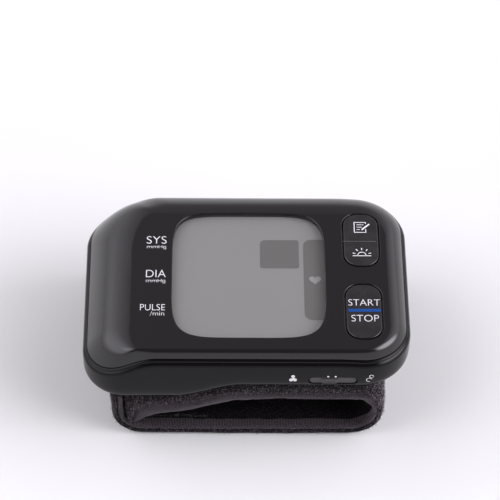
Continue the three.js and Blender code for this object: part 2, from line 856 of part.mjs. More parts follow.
const tactPlaces = { start: startKeyCentreY, average: rockerStems[0], memory: rockerStems[1] };
for (const [name, y] of Object.entries(tactPlaces)) {
  const half = tactSize / 2;
  const body = box(
    [keyX - half, y - half, boardTop + solder],
    [keyX + half, y + half, boardTop + tactHeight],
  );
  const plunger = round("z", [keyX, y], boardTop + tactHeight / 2, tactTop, tactPlungerRadius);
  addPart(`tact_switch_${name}`, union(body, plunger), componentBlack);
}

// A flat part hung under the board, by its centre.
function underBoard(name, x, y, [width, length, height], material) {
  const top = boardBottom - solder;
  addPart(
    name,
    box([x - width / 2, y - length / 2, top - height], [x + width / 2, y + length / 2, top]),
    material,
  );
}
const boardMiddle = (boardLeft + boardRight) / 2;
underBoard("processor", boardMiddle - chipSize / 2, chipSize, [chipSize, chipSize, chipHeight], componentBlack);
underBoard("radio_module", boardRight - radioSize[0], boardHalfWidth - radioSize[1] / 2, radioSize, steel);

const sensorX = boardLeft + sensorSize[0] / 2 + sensorPortLength;
const sensorTop = boardBottom - solder;
addPart(
  "pressure_sensor",
  union(
    box(
      [sensorX - sensorSize[0] / 2, -sensorSize[1] / 2, sensorTop - sensorSize[2]],
      [sensorX + sensorSize[0] / 2, sensorSize[1] / 2, sensorTop],
    ),
    round(
      "x",
      [0, sensorTop - sensorSize[2] / 2],
      sensorX - sensorSize[0] / 2 - sensorPortLength,
      sensorX,
      sensorPortRadius,
    ),
  ),
  whitePlastic,
);
addPart(
  "buzzer",
  round(
    "z",
    [boardMiddle, -boardHalfWidth + 2 * buzzerRadius],
    sensorTop - buzzerHeight,
    sensorTop,
    buzzerRadius,
  ),
  componentBlack,
);

// Slide switch: the part on the board's front edge, and the knob outside that drives it
const wallInsideY = -seamHalfWidth + switchPadDepth;
const switchFront = wallInsideY + fit;
const forkGap = fit;
const leverHalf = switchSlotHeight / 2 - fit;
const switchBody = box(
  [switchX - switchBodySize[0] / 2, switchFront + switchBodySize[1] / 2, boardBottom - solder - switchBodySize[2]],
  [switchX + switchBodySize[0] / 2, switchFront + switchBodySize[1] * 1.5, boardBottom - solder],
);
addPart("user_switch", switchBody, steel);

const knobLeft = switchX - switchTravel / 2;
const knobY = frontWallY() + scoopDepth;
const knob = union(
  box(
    [knobLeft - knobLength / 2, knobY - scoopDepth - knobProud, -switchDepth - knobHeight / 2],
    [knobLeft + knobLength / 2, knobY - fit, -switchDepth + knobHeight / 2],
  ),
  box(
    [knobLeft - knobLength / 4, knobY - scoopDepth, -switchDepth - leverHalf],
    [knobLeft + knobLength / 4, switchFront + switchBodySize[1] / 2 - forkGap, -switchDepth + leverHalf],
  ),
);
addPart("user_switch_knob", knob, matteBlack);

// Pump: motor, head and the crank that the motor turns
const bayZ = pumpFloor + motorRadius;
const motorRearY = motorFrontY + motorLength;
addPart(
  "pump_motor",
  carve(
    round("y", [bayCentreX, bayZ], motorFrontY, motorRearY, motorRadius),
    round("y", [bayCentreX, bayZ], motorFrontY + motorLength / 2, motorRearY + overrun, crankShaftRadius + fit),
  ),
  steel,
);
addPart(
  "pump_head",
  carve(
    box(
      [bayCentreX - headSize[0] / 2, headFrontY, pumpFloor],
      [bayCentreX + headSize[0] / 2, headRearY, pumpFloor + headSize[2]],
    ),
    round("y", [bayCentreX, bayZ], headFrontY - overrun, headFrontY + headCavityDepth, headCavityRadius),
  ),
  whitePlastic,
);
addPart(
  "pump_crank",
  union(
    round("y", [bayCentreX, bayZ], motorFrontY + motorLength / 2 + fit, headFrontY + fit + crankThickness, crankShaftRadius),
    round("y", [bayCentreX + crankOffset, bayZ], headFrontY + fit, headFrontY + fit + crankThickness, crankRadius),
  ),
  brass,
);

// Exhaust valve: a coil body with a plunger sliding in it
const valveRearY = valveFrontY + valveLength;
addPart(
  "valve_body",
  carve(
    round("y", [bayCentreX, pumpFloor + valveRadius], valveFrontY, valveRearY, valveRadius),
    round(
      "y",
      [bayCentreX, pumpFloor + valveRadius],
      valveFrontY - overrun,
      valveFrontY + plungerLength + plungerTravel,
      plungerRadius + fit,
    ),
  ),
  steel,
);
addPart(
  "valve_plunger",
  round("y", [bayCentreX, pumpFloor + valveRadius], plungerFrontY, plungerFrontY + plungerLength, plungerRadius),
  brass,
);

// Air manifold: joins the pump head, the valve and the bladder's nipple
addPart(
  "air_manifold",
  carve(
    box(
      [bayCentreX - headSize[0] / 2, manifoldFrontY, bayFloor],
      [airX + manifoldReach, manifoldRearY, bayFloor + manifoldHeight],
    ),
    round("z", [airX, airY], bayFloor - overrun, bayFloor + nippleInsert, nippleRadius + fit),
  ),
  rubber,
);

// Case screws, from below
[-screwY, screwY].forEach((y, i) => {
  addPart(
    `case_screw_${i + 1}`,
    carve(
      union(
        round("z", [screwX, y], screwHeadBottom, screwHeadBottom + screwHeadHeight, screwHeadRadius),
        round("z", [screwX, y], screwHeadBottom, screwTop, screwRadius),
      ),
      box(
        [screwX - screwHeadRadius, y - driveWidth / 2, screwHeadBottom - overrun],
        [screwX + screwHeadRadius, y + driveWidth / 2, screwHeadBottom + driveDepth],
      ),
      box(
        [screwX - driveWidth / 2, y - screwHeadRadius, screwHeadBottom - overrun],
        [screwX + driveWidth / 2, y + screwHeadRadius, screwHeadBottom + driveDepth],
      ),
    ),
    steel,
  );
});

// Cuff: lines in X and Z that follow the underside
const bulgePlaces = Array.from(
  { length: bulgeSteps + 1 },
  (_, i) => -bulgeStart - (bulgeRun * i) / bulgeSteps,
);
function underLine(from, to, below) {
  const between = bulgePlaces.filter((x) => x > Math.min(from, to) && x < Math.max(from, to));
  between.sort((a, b) => (a - b) * Math.sign(to - from));
  return [from, ...between, to].map((x) => [x, undersideZ(x) - below]);
}
function onCircle(centre, radii, degrees) {
  const angle = THREE.MathUtils.degToRad(degrees);
  return [centre[0] + radii[0] * Math.cos(angle), centre[1] + radii[1] * Math.sin(angle)];
}
const arc = (centre, radii, from, to) =>
  Array.from({ length: foldSteps + 1 }, (_, i) =>
    onCircle(centre, radii, from + ((to - from) * i) / foldSteps),
  );

// Padded part of the cuff: flat against the underside, rounding down at the right to the fold, and curving
// down at the left to a thin tip inside the strap's heel.
function cuffOutline() {
  const below = fit + cuffThickness;
  const innerRight = cuffRight - foldThickness;
  const innerRadiusX = shoulderRadiusX - foldThickness / 2;
  const innerRadiusZ = shoulderRadiusZ - foldThickness;
  const heel = [-cuffLeft + heelRadius, strapBottom + strapThickness + fit + heelRadius];
  const tipCentre = onCircle(heel, [heelRadius - tipRadius, heelRadius - tipRadius], 180 + tipTurn);
  const tip = arc(tipCentre, [tipRadius, tipRadius], tipStart, 180 + tipTurn);
  return [
    ...underLine(-cuffLeft + leftRadius / 2, cuffRight - shoulderRadiusX, fit),
    ...arc([cuffRight - shoulderRadiusX, cuffTop - shoulderRadiusZ], [shoulderRadiusX, shoulderRadiusZ], 90, 0),
    [cuffRight, foldZ + fit / 2],
    [innerRight, foldZ + fit / 2],
    ...arc([innerRight - innerRadiusX, cuffTop - cuffThickness - innerRadiusZ], [innerRadiusX, innerRadiusZ], 0, 90),
    ...underLine(innerRight - innerRadiusX, -cuffLeft + innerTurn, below),
    ...innerCurve(tip[0], below),
    ...tip,
    ...arc(heel, [heelRadius, heelRadius], 180 + tipTurn, 180),
    [-cuffLeft, undersideZ(-cuffLeft) - fit - leftRadius / 2],
  ];
}

// The padded part's inner line at the left: it leaves the underside's line and bends down to the tip.
function innerCurve(end, below) {
  const start = -cuffLeft + innerTurn;
  const drop = undersideZ(end[0]) - below - end[1];
  const points = [];
  for (let i = 1; i < foldSteps; i++) {
    const share = i / foldSteps;
    const x = start + (end[0] - start) * share;
    points.push([x, undersideZ(x) - below - drop * share ** 2]);
  }
  return points;
}

// Strap: from the fold at the right, down and along the bottom, and up the outside of the left end.
function strapOutline() {
  const top = strapBottom + strapThickness;
  const toeRadius = foldZ - fit / 2 - strapBottom;
  const toe = [cuffRight - toeRadius, foldZ - fit / 2];
  const heelX = -cuffLeft + heelRadius;
  const heelZ = top + fit + heelRadius;
  const outerHeel = heelX + strapLeft;
  const endZ = undersideZ(-cuffLeft) - 2 * fit;
  return [
    ...arc(toe, [toeRadius, toeRadius], 0, -90),
    ...arc([heelX, heelZ], [outerHeel, heelZ - strapBottom], 270, 180),
    [-strapLeft, endZ - strapThickness / 2],
    [-strapLeft + strapThickness / 2, endZ],
    [-strapLeft + strapThickness, endZ - strapThickness / 2],
    ...arc([heelX, heelZ], [outerHeel - strapThickness, heelZ - top], 180, 270),
    ...arc(toe, [toeRadius - foldThickness, toe[1] - top], 270, 360),
  ];
}

// Base plate, with posts up into the lower case
const plateX = plateStart + plateLength / 2;
const plateTop = -caseDepth - fit;
const plateOutline = (margin) =>
  roundedRectangle([plateX, 0], plateLength + 2 * margin, plateWidth + 2 * margin, plateCornerRadius + margin);
addPart(
  "cuff_base_plate",
  union(
    prism(plateOutline(0), plateTop - plateThickness, plateTop),
    ...platePosts().map(([x, y]) =>
      round("z", [x, y], plateTop - plateThickness / 2, -caseDepth + caseWall, platePostRadius),
    ),
  ),
  matteBlack,
);

// Pocket in the padded part for the curler sheet and the bladder, as a line under the casing
const pocketLeft = -cuffLeft + pocketInset;
const pocketRight = cuffRight - pocketInset;
const pocketTop = fit + plateThickness + 2 * fit + cuffSkin;
const pocketDepth = curlerThickness + bladderThickness + 3 * fit;
const underBand = (from, to, below, thickness, width, edge) =>
  band(
    [...underLine(from, to, below), ...underLine(to, from, below + thickness)],
    width,
    edge,
  );
const cuffCover = carve(
  band(cuffOutline(), cuffWidth, cuffEdgeRound),
  prism(plateOutline(fit), plateTop - plateThickness - fit, overrun),
  underBand(
    pocketLeft - fit,
    pocketRight + fit,
    pocketTop,
    Math.min(pocketDepth, cuffThickness + fit - pocketTop - cuffSkin / 2),
    cuffWidth - 2 * bladderInset + 2 * fit,
    0,
  ),
  round("z", [airX, airY], cuffTop - pocketTop - pocketDepth / 2, overrun, nippleRadius + 2 * fit),
);
addPart("cuff_cover", cuffCover, fabric);

const curlerTop = pocketTop + fit;
addPart(
  "cuff_curler",
  carve(
    underBand(pocketLeft, pocketRight, curlerTop, curlerThickness, cuffWidth - 2 * bladderInset, 0),
    round("z", [airX, airY], cuffTop - cuffThickness, overrun, nippleRadius + fit),
  ),
  whitePlastic,
);

const bladderTop = curlerTop + curlerThickness + fit;
const bladderDepth = Math.min(bladderThickness, cuffThickness + fit - bladderTop - cuffSkin / 2 - fit);
addPart(
  "air_bladder",
  carve(
    union(
      underBand(pocketLeft + fit, pocketRight - fit, bladderTop, bladderDepth, cuffWidth - 2 * bladderInset - 2 * fit, 0),
      round("z", [airX, airY], -caseDepth - bladderTop - bladderDepth / 2, bayFloor + nippleInsert - fit, nippleRadius),
    ),
    round("z", [airX, airY], -caseDepth - bladderTop - bladderDepth / 2, overrun, nippleBore),
  ),
  rubber,
);

// Strap with its hook patch on the inside of its end
const hookTop = strapBottom + strapThickness;
const hookLeft = -cuffLeft + heelRadius;
addPart(
  "cuff_strap",
  carve(
    band(strapOutline(), cuffWidth, cuffEdgeRound),
    box(
      [hookLeft - fit, -cuffWidth / 2 + bladderInset - fit, hookTop - hookSink],
      [hookLeft + hookLength + fit, cuffWidth / 2 - bladderInset + fit, hookTop + overrun],
    ),
  ),
  fabric,
);
addPart(
  "hook_patch",
  box(
    [hookLeft, -cuffWidth / 2 + bladderInset, hookTop - hookSink + fit],
    [hookLeft + hookLength, cuffWidth / 2 - bladderInset, hookTop - hookSink + fit + hookThickness],
  ),
  matteBlack,
);

export default monitor;
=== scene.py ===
# %% [markdown]
# # A wrist blood pressure monitor
#
# The real object is a slim glossy casing that rests on its own closed cuff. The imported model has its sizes,
# its named pieces and its joints. This lesson gives it smooth skins, finishes, printed legends, a fabric
# cuff, light and a camera. Sizes are worked out in millimetres from the flat face, then placed in metres.

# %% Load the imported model
import json
import math
import random

import bmesh
import bpy
from mathutils import Matrix, Vector

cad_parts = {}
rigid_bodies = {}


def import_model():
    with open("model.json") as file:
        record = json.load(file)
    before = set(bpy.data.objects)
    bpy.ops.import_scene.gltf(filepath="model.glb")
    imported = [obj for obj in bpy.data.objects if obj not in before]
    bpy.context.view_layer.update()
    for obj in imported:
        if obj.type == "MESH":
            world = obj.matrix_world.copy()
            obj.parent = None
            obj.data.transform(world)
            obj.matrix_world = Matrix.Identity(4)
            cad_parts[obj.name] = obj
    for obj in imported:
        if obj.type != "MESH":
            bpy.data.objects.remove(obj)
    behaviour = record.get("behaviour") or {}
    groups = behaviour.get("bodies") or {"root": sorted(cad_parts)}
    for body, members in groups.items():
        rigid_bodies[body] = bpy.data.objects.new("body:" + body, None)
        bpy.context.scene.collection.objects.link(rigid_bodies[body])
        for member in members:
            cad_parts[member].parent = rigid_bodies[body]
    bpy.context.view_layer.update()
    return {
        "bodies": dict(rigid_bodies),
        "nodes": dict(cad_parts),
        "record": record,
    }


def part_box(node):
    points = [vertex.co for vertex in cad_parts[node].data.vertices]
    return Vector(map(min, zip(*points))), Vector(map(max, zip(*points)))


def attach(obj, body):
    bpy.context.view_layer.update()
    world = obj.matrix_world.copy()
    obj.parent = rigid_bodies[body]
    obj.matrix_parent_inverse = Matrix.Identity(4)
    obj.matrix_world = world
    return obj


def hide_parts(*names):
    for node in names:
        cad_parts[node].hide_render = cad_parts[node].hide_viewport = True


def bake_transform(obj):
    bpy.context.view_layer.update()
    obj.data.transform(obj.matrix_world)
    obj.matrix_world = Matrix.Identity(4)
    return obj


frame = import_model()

MM = 0.001
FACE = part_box("top_cover")[1].z / MM
LENS_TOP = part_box("display_lens")[1].z / MM - FACE


def place(x, y, z):
    """A point in millimetres, measured from the face, as a point of the frame in metres."""
    return Vector((x * MM, y * MM, (z + FACE) * MM))


print("bodies:", ", ".join(frame["bodies"]))
print("face stands", round(FACE, 2), "mm above the ground")

# %% [markdown]
# ## Camera
#
# A long lens flattens the view, as product photographs do. The place, turn and roll were fitted to the
# casing's outline. A camera can be aimed with a Track To constraint, but a matrix of three directions also
# holds the small roll, so the camera's matrix is set once.

# %% Set the camera
VIEW_HEIGHT = math.radians(48.253)
VIEW_TURN = math.radians(-1.2633)
VIEW_ROLL = math.radians(-1.1896)
VIEW_DISTANCE = 0.78689
VIEW_LENS = 201.29
VIEW_TARGET = Vector((0.001046, 0.007214, FACE * MM))

towards_camera = Vector((
    math.sin(VIEW_TURN) * math.cos(VIEW_HEIGHT),
    -math.cos(VIEW_TURN) * math.cos(VIEW_HEIGHT),
    math.sin(VIEW_HEIGHT),
))
level_right = (-towards_camera).cross(Vector((0, 0, 1))).normalized()
level_up = level_right.cross(-towards_camera)
right = level_right * math.cos(VIEW_ROLL) - level_up * math.sin(VIEW_ROLL)
up = level_right * math.sin(VIEW_ROLL) + level_up * math.cos(VIEW_ROLL)

camera = bpy.data.objects.new("camera", bpy.data.cameras.new("camera"))
bpy.context.scene.collection.objects.link(camera)
camera.data.lens = VIEW_LENS
camera.data.sensor_width = 36
camera.data.clip_start = 0.01
camera.matrix_world = Matrix.Translation(VIEW_TARGET + towards_camera * VIEW_DISTANCE) @ Matrix(
    (right, up, towards_camera)
).transposed().to_4x4()
bpy.context.scene.camera = camera
print("camera stands at", [round(c, 3) for c in camera.location])

# %% [markdown]
# ## Shader maths in plain expressions
#
# Blender's shaders are graphs of nodes. Wiring them by hand in code hides the idea, so a small class wraps
# an output and adds a Math node for each operator. A finish then reads like a formula.


# %% Wrap a shader output
class Value:
    """A number that comes out of a node, for use in Python expressions."""

    def __init__(self, finish, socket):
        self.finish = finish
        self.socket = socket

    def _math(self, operation, left, right):
        node = self.finish.node("ShaderNodeMath", {"operation": operation}, {0: left, 1: right})
        return node["Value"]

    def __add__(self, other):
        return self._math("ADD", self, other)

    def __radd__(self, other):
        return self._math("ADD", other, self)

    def __sub__(self, other):
        return self._math("SUBTRACT", self, other)

    def __rsub__(self, other):
        return self._math("SUBTRACT", other, self)

    def __mul__(self, other):
        return self._math("MULTIPLY", self, other)

    def __rmul__(self, other):
        return self._math("MULTIPLY", other, self)


class Outputs:
    """The outputs of one node, by name."""

    def __init__(self, finish, node):
        self.finish = finish
        self.node = node

    def __getitem__(self, name):
        socket = next(s for s in self.node.outputs if s.name == name and s.enabled)
        return Value(self.finish, socket)


# %% [markdown]
# ## One maker for every other node
#
# A graph is a node tree, of a material or of the world. Its node method takes the node's type, the settings
# that have to come first, and then numbers or links for the sockets. A finish is the graph of one material,
# with the textures that all the finishes here share: grain by size in millimetres and a bump.


# %% Build graphs and materials
class Graph:
    """A node tree that is built by calls."""

    def __init__(self, tree):
        self.tree = tree
        self.tree.nodes.clear()

    def node(self, kind, settings, inputs):
        node = self.tree.nodes.new(kind)
        for key, value in settings.items():
            setattr(node, key, value)
        for key, value in inputs.items():
            if isinstance(key, int):
                socket = node.inputs[key]
            else:
                socket = next(s for s in node.inputs if s.name == key and s.enabled)
            if isinstance(value, Value):
                self.tree.links.new(value.socket, socket)
            else:
                socket.default_value = value
        return Outputs(self, node)

    def step(self, value, low, high):
        """0 below low, 1 above high, and smooth between."""
        inputs = {"Value": value, "From Min": low, "From Max": high}
        return self.node("ShaderNodeMapRange", {"interpolation_type": "SMOOTHSTEP"}, inputs)["Result"]

    def mix(self, share, first, second):
        """The first colour where the share is 0 and the second where it is 1."""
        inputs = {"Factor": share, "A": (*first, 1) if isinstance(first, tuple) else first}
        inputs["B"] = (*second, 1) if isinstance(second, tuple) else second
        return self.node("ShaderNodeMix", {"data_type": "RGBA"}, inputs)["Result"]

    def axis(self, vector, name):
        """One of a vector's three numbers: X, Y or Z."""
        return self.node("ShaderNodeSeparateXYZ", {}, {"Vector": vector})[name]


class Finish(Graph):
    """One material, whose textures read the object's own coordinates."""

    def __init__(self, name):
        self.material = bpy.data.materials.new(name)
        self.material.use_nodes = True
        super().__init__(self.material.node_tree)

    def coordinates(self, stretch=(1, 1, 1), turn=(0, 0, 0)):
        start = self.node("ShaderNodeTexCoord", {}, {})["Object"]
        inputs = {"Vector": start, "Scale": stretch, "Rotation": turn}
        return self.node("ShaderNodeMapping", {}, inputs)["Vector"]

    def grain(self, size, detail=2.0, stretch=(1, 1, 1)):
        """Soft noise from 0 to 1 whose blots are about this many millimetres across."""
        inputs = {"Vector": self.coordinates(stretch), "Scale": 1 / (size * MM), "Detail": detail}
        return self.node("ShaderNodeTexNoise", {}, inputs)["Fac"]

    def speckle(self, size, stretch=(1, 1, 1)):
        """Distance to the nearest of many scattered points this many millimetres apart."""
        inputs = {"Vector": self.coordinates(stretch), "Scale": 1 / (size * MM)}
        return self.node("ShaderNodeTexVoronoi", {}, inputs)["Distance"]

    def ribs(self, pitch, turn=(0, 0, 0)):
        """Waves this many millimetres apart along the turned X axis. A wave of scale 1 repeats 20 times in
        one turn of a circle of radius 1, so the scale of a pitch is a twentieth of that turn."""
        scale = 2 * math.pi / 20 / (pitch * MM)
        inputs = {"Vector": self.coordinates(turn=turn), "Scale": scale, "Distortion": 0.6}
        return self.node("ShaderNodeTexWave", {}, inputs)["Fac"]

    def painted_right_light(self):
        """1 at the cuff's right end, where the pale tips are painted lighter: painted light from that side.
        """
        return self.step(self.axis(self.coordinates(), "X"), 32.5 * MM, 38 * MM)

    def bump(self, height, depth):
        """A normal from a height from 0 to 1, whose full range is this many millimetres deep."""
        inputs = {"Height": height, "Distance": depth * MM, "Strength": 1.0}
        return self.node("ShaderNodeBump", {}, inputs)["Normal"]

    def surface(self, inputs):
        """Ends the material in the Principled shader with these inputs."""
        shader = self.node("ShaderNodeBsdfPrincipled", {}, inputs)["BSDF"]
        self.node("ShaderNodeOutputMaterial", {}, {"Surface": shader})
        return self.material


# %% [markdown]
# ## Gloss black casing
#
# The casing is injection moulded in a polished mould, so its colour is nearly even and all its character is
# in the reflections. A mirror-perfect roughness would look like glass. Handling leaves faint smears, so the
# roughness drifts a little over the surface, and a very shallow long wave stands for the moulding's shrink.
# The lower case is a darker, less shiny copy of the same plastic: painted shade on the casing's lower half.


# %% Casing, key and matte plastics
def gloss_black(name, shine, tone):
    finish = Finish(name)
    smear = finish.grain(9, 3)
    dust = finish.step(finish.speckle(1.7), 0.10, 0.04)
    return finish.surface({
        "Base Color": finish.mix(dust * 0.35, tone, (0.035, 0.032, 0.035)),
        "Roughness": 0.055 + smear * 0.05 + dust * 0.1,
        "Normal": finish.bump(finish.grain(14, 1), 0.006),
        "IOR": 1.5,
        "Specular IOR Level": shine,
    })


def key_black():
    finish = Finish("key_black")
    rubbed = finish.step(finish.grain(3.5, 4), 0.35, 0.7)
    return finish.surface({
        "Base Color": finish.mix(rubbed, (0.015, 0.013, 0.015), (0.021, 0.019, 0.021)),
        "Roughness": 0.17 + rubbed * 0.08,
        "Normal": finish.bump(finish.grain(0.25, 2), 0.0015),
        "IOR": 1.5,
    })


def matte_black():
    finish = Finish("matte_black")
    spark = finish.grain(0.18, 3)
    return finish.surface({
        "Base Color": finish.mix(spark, (0.010, 0.010, 0.010), (0.030, 0.029, 0.030)),
        "Roughness": 0.45 + spark * 0.2,
        "Normal": finish.bump(spark, 0.02),
    })


# %% [markdown]
# ## Lens and display
#
# The lens is clear acrylic. What it adds to the picture is the reflection of its top face, so it is drawn as
# a mirror whose opacity is that reflection: nearly open from the front, and brighter at a shallow angle. The
# facing share to the fifth power gives that curve from both sides, where a Fresnel node would turn total
# from behind and shade the display. The panel is a grey reflector with a fine horizontal brushing.


# %% Lens, display and its printed zones
def clear_lens():
    finish = Finish("clear_lens")
    facing = finish.node("ShaderNodeLayerWeight", {}, {"Blend": 0.5})["Facing"]
    reflection = 0.04 + 0.96 * (facing * facing * facing * facing * facing)
    height = finish.axis(finish.coordinates(), "Z")
    on_top = finish.step(height, (FACE + LENS_TOP - 0.03) * MM, (FACE + LENS_TOP - 0.01) * MM)
    haze = finish.step(finish.grain(6, 4), 0.4, 0.8)
    return finish.surface({
        "Base Color": (0.92, 0.93, 0.94, 1),
        "Metallic": 1,
        "Roughness": 0.03 + haze * 0.03,
        "Alpha": on_top * (reflection + haze * 0.01),
    })


def display_grey(name, tone):
    finish = Finish(name)
    brushing = finish.grain(0.12, 2, (0.08, 1, 1))
    cloud = finish.grain(30, 1)
    shade = brushing * 0.25 + cloud * 0.75
    dark = tuple(c * 0.94 for c in tone)
    light = tuple(min(c * 1.06, 1) for c in tone)
    return finish.surface({
        "Base Color": finish.mix(shade, dark, light),
        "Roughness": 0.5 + brushing * 0.1,
        "Normal": finish.bump(brushing, 0.002),
    })


# %% [markdown]
# ## Inks
#
# The legends are pad printed: a thin, slightly raised film of ink that is a touch uneven at its edges. A
# mottled mix of two close tones keeps it from looking like a sticker.


# %% Printing inks
def ink(name, tone):
    finish = Finish(name)
    mottle = finish.grain(0.15, 3)
    return finish.surface({
        "Base Color": finish.mix(mottle, tuple(c * 0.82 for c in tone), tone),
        "Roughness": 0.5 + mottle * 0.1,
        "Normal": finish.bump(mottle, 0.004),
        "Specular IOR Level": 0.2,
    })


# %% [markdown]
# ## Inner parts and metals
#
# The battery bay is seen when its cover slides off, and the rest of the inside only through the openings.
# Each still has its own finish: moulded white plastic with fine grain, a green board with the shadow of its
# copper tracks, plated steel with rolling lines, brass, and the cells' printed sleeves.


# %% Finishes of the inner parts
def moulded(name, dark, light, roughness):
    finish = Finish(name)
    flow = finish.grain(2.2, 4)
    return finish.surface({
        "Base Color": finish.mix(flow, dark, light),
        "Roughness": roughness + flow * 0.12,
        "Normal": finish.bump(finish.grain(0.2, 2), 0.006),
    })


def board_green():
    finish = Finish("board_green")
    tracks = finish.step(finish.ribs(1.3), 0.55, 0.7) * finish.step(finish.grain(3, 1), 0.42, 0.5)
    return finish.surface({
        "Base Color": finish.mix(tracks, (0.010, 0.085, 0.032), (0.03, 0.19, 0.07)),
        "Roughness": 0.3 + finish.grain(0.4, 2) * 0.15,
        "Normal": finish.bump(tracks, 0.03),
    })


def metal(name, dark, light, stretch):
    finish = Finish(name)
    drawn = finish.grain(0.3, 3, stretch)
    tarnish = finish.step(finish.grain(1.8, 3), 0.45, 0.75)
    return finish.surface({
        "Base Color": finish.mix(tarnish, light, dark),
        "Metallic": 1,
        "Roughness": 0.22 + drawn * 0.12 + tarnish * 0.15,
        "Normal": finish.bump(drawn, 0.004),
    })


def cell_sleeve():
    finish = Finish("cell_sleeve")
    along = finish.axis(finish.coordinates(), "Y")
    collar = finish.step(along, 20.5 * MM, 20.8 * MM) + finish.step(along, -20.5 * MM, -20.8 * MM)
    band = finish.step(along, 10 * MM, 10.2 * MM)
    scuff = finish.step(finish.grain(0.8, 4), 0.62, 0.8)
    printed = finish.mix(band, (0.03, 0.11, 0.25), (0.42, 0.44, 0.46))
    return finish.surface({
        "Base Color": finish.mix(collar, finish.mix(scuff, printed, (0.20, 0.24, 0.3)), (0.5, 0.5, 0.51)),
        "Metallic": 0.15 + collar * 0.8,
        "Roughness": 0.3 + scuff * 0.2,
        "Normal": finish.bump(scuff, 0.01),
    })


# %% [markdown]
# ## Cuff fabric
#
# The cuff is faced with a brushed loop fabric, so that the hooks grip it anywhere. Its surface is a mass of
# tiny curls: pale tips over a dark ground. Scattered points make the curls and soft noise gathers them into
# tufts. The sheen lifts the edges as real pile does. The binding at the rims is a finer ribbed knit in a
# slightly lighter shade. The side towards the wrist is a smooth dark jersey, which creases in long soft
# waves, and its tones are darker still as painted shade for the inside of the cuff's opening. At the right
# end the pale tips of both fabrics are painted lighter: painted light, for light falling from that side.


# %% Fabrics
def loop_fabric():
    finish = Finish("loop_fabric")
    curls = finish.step(finish.speckle(0.46), 0.62, 0.12)
    tufts = finish.grain(1.1, 3)
    worn = finish.grain(9, 2)
    pale = curls * finish.step(tufts, 0.3, 0.75)
    # Painted light: at the right end the pale tips turn lighter, for light falling from that side.
    tip = finish.mix(finish.painted_right_light(), (0.118, 0.097, 0.112), (0.36, 0.30, 0.345))
    tone = finish.mix(pale, (0.0045, 0.0035, 0.0043), tip)
    return finish.surface({
        "Base Color": finish.mix(worn * 0.25, tone, (0.022, 0.0178, 0.0213)),
        "Roughness": 0.9 + tufts * 0.08,
        "Normal": finish.bump(curls * 0.6 + tufts * 0.4, 0.5),
        "Sheen Weight": 0.1,
        "Sheen Roughness": 0.45,
        "Sheen Tint": (0.85, 0.74, 0.82, 1),
        "Specular IOR Level": 0.15,
    })


def ribbed_binding():
    finish = Finish("ribbed_binding")
    ribs = finish.ribs(0.62, (0, math.radians(38), 0))
    fuzz = finish.speckle(0.25)
    # Painted light: at the right end the binding's pale colour turns lighter, for light falling from that
    # side.
    tip = finish.mix(finish.painted_right_light(), (0.098, 0.081, 0.094), (0.20, 0.165, 0.19))
    pale = ribs * 0.3 + finish.step(fuzz, 0.6, 0.1) * 0.6
    return finish.surface({
        "Base Color": finish.mix(pale, (0.011, 0.0088, 0.0108), tip),
        "Roughness": 0.88 + fuzz * 0.1,
        "Normal": finish.bump(ribs * 0.5 + fuzz * 0.5, 0.1),
        "Sheen Weight": 0.15,
        "Sheen Roughness": 0.5,
        "Sheen Tint": (0.85, 0.76, 0.83, 1),
        "Specular IOR Level": 0.15,
    })


def jersey():
    finish = Finish("jersey")
    knit = finish.speckle(0.3, (0.4, 1, 1))
    creases = finish.grain(7, 2, (0.3, 1, 1))
    loops = finish.step(knit, 0.6, 0.1)
    return finish.surface({
        # Painted shade: these tones are darker than the jersey alone, for the shade inside the cuff's
        # opening.
        "Base Color": finish.mix(loops, (0.0038, 0.003, 0.0036), (0.018, 0.0145, 0.017)),
        "Roughness": 0.85 + knit * 0.1,
        "Normal": finish.bump(creases * 0.9 + knit * 0.1, 1.2),
        "Specular IOR Level": 0.1,
    })


def hook_tape():
    finish = Finish("hook_tape")
    hooks = finish.step(finish.speckle(0.7), 0.6, 0.1)
    return finish.surface({
        "Base Color": finish.mix(hooks, (0.008, 0.008, 0.008), (0.05, 0.05, 0.052)),
        "Roughness": 0.45 + hooks * 0.2,
        "Normal": finish.bump(hooks, 0.3),
    })


def yarn(name, dark, light):
    finish = Finish(name)
    shade = finish.grain(0.6, 3)
    return finish.surface({
        "Base Color": finish.mix(finish.step(shade, 0.35, 0.7), dark, light),
        "Roughness": 0.8 + shade * 0.15,
        "Normal": finish.bump(finish.grain(0.1, 2), 0.02),
        "Specular IOR Level": 0.15,
    })


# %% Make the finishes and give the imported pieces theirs
white_ink = ink("white_ink", (0.80, 0.78, 0.81))
grey_ink = ink("grey_ink", (0.16, 0.155, 0.165))
# Painted light: a grey far lighter than the case, for the light that the switch's recess catches.
track_grey = ink("track_grey", (0.085, 0.079, 0.083))
blue_ink = ink("blue_ink", (0.006, 0.062, 0.27))
finishes = {
    "gloss_black": gloss_black("gloss_black", 0.5, (0.0068, 0.0056, 0.0068)),
    "key_black": key_black(),
    "matte_black": matte_black(),
    "clear_lens": clear_lens(),
    "display_grey": display_grey("display_grey", (0.222, 0.219, 0.214)),
    "white_plastic": moulded("white_plastic", (0.60, 0.58, 0.53), (0.74, 0.72, 0.67), 0.42),
    "board_green": board_green(),
    "component_black": moulded("component_black", (0.008, 0.008, 0.008), (0.02, 0.02, 0.02), 0.4),
    "steel": metal("steel", (0.36, 0.35, 0.34), (0.56, 0.56, 0.57), (1, 0.1, 1)),
    "brass": metal("brass", (0.33, 0.22, 0.10), (0.62, 0.44, 0.17), (0.1, 1, 1)),
    "cell_sleeve": cell_sleeve(),
    "cuff_fabric": loop_fabric(),
    "hook_black": hook_tape(),
    "rubber": moulded("rubber", (0.42, 0.39, 0.34), (0.56, 0.53, 0.47), 0.62),
}
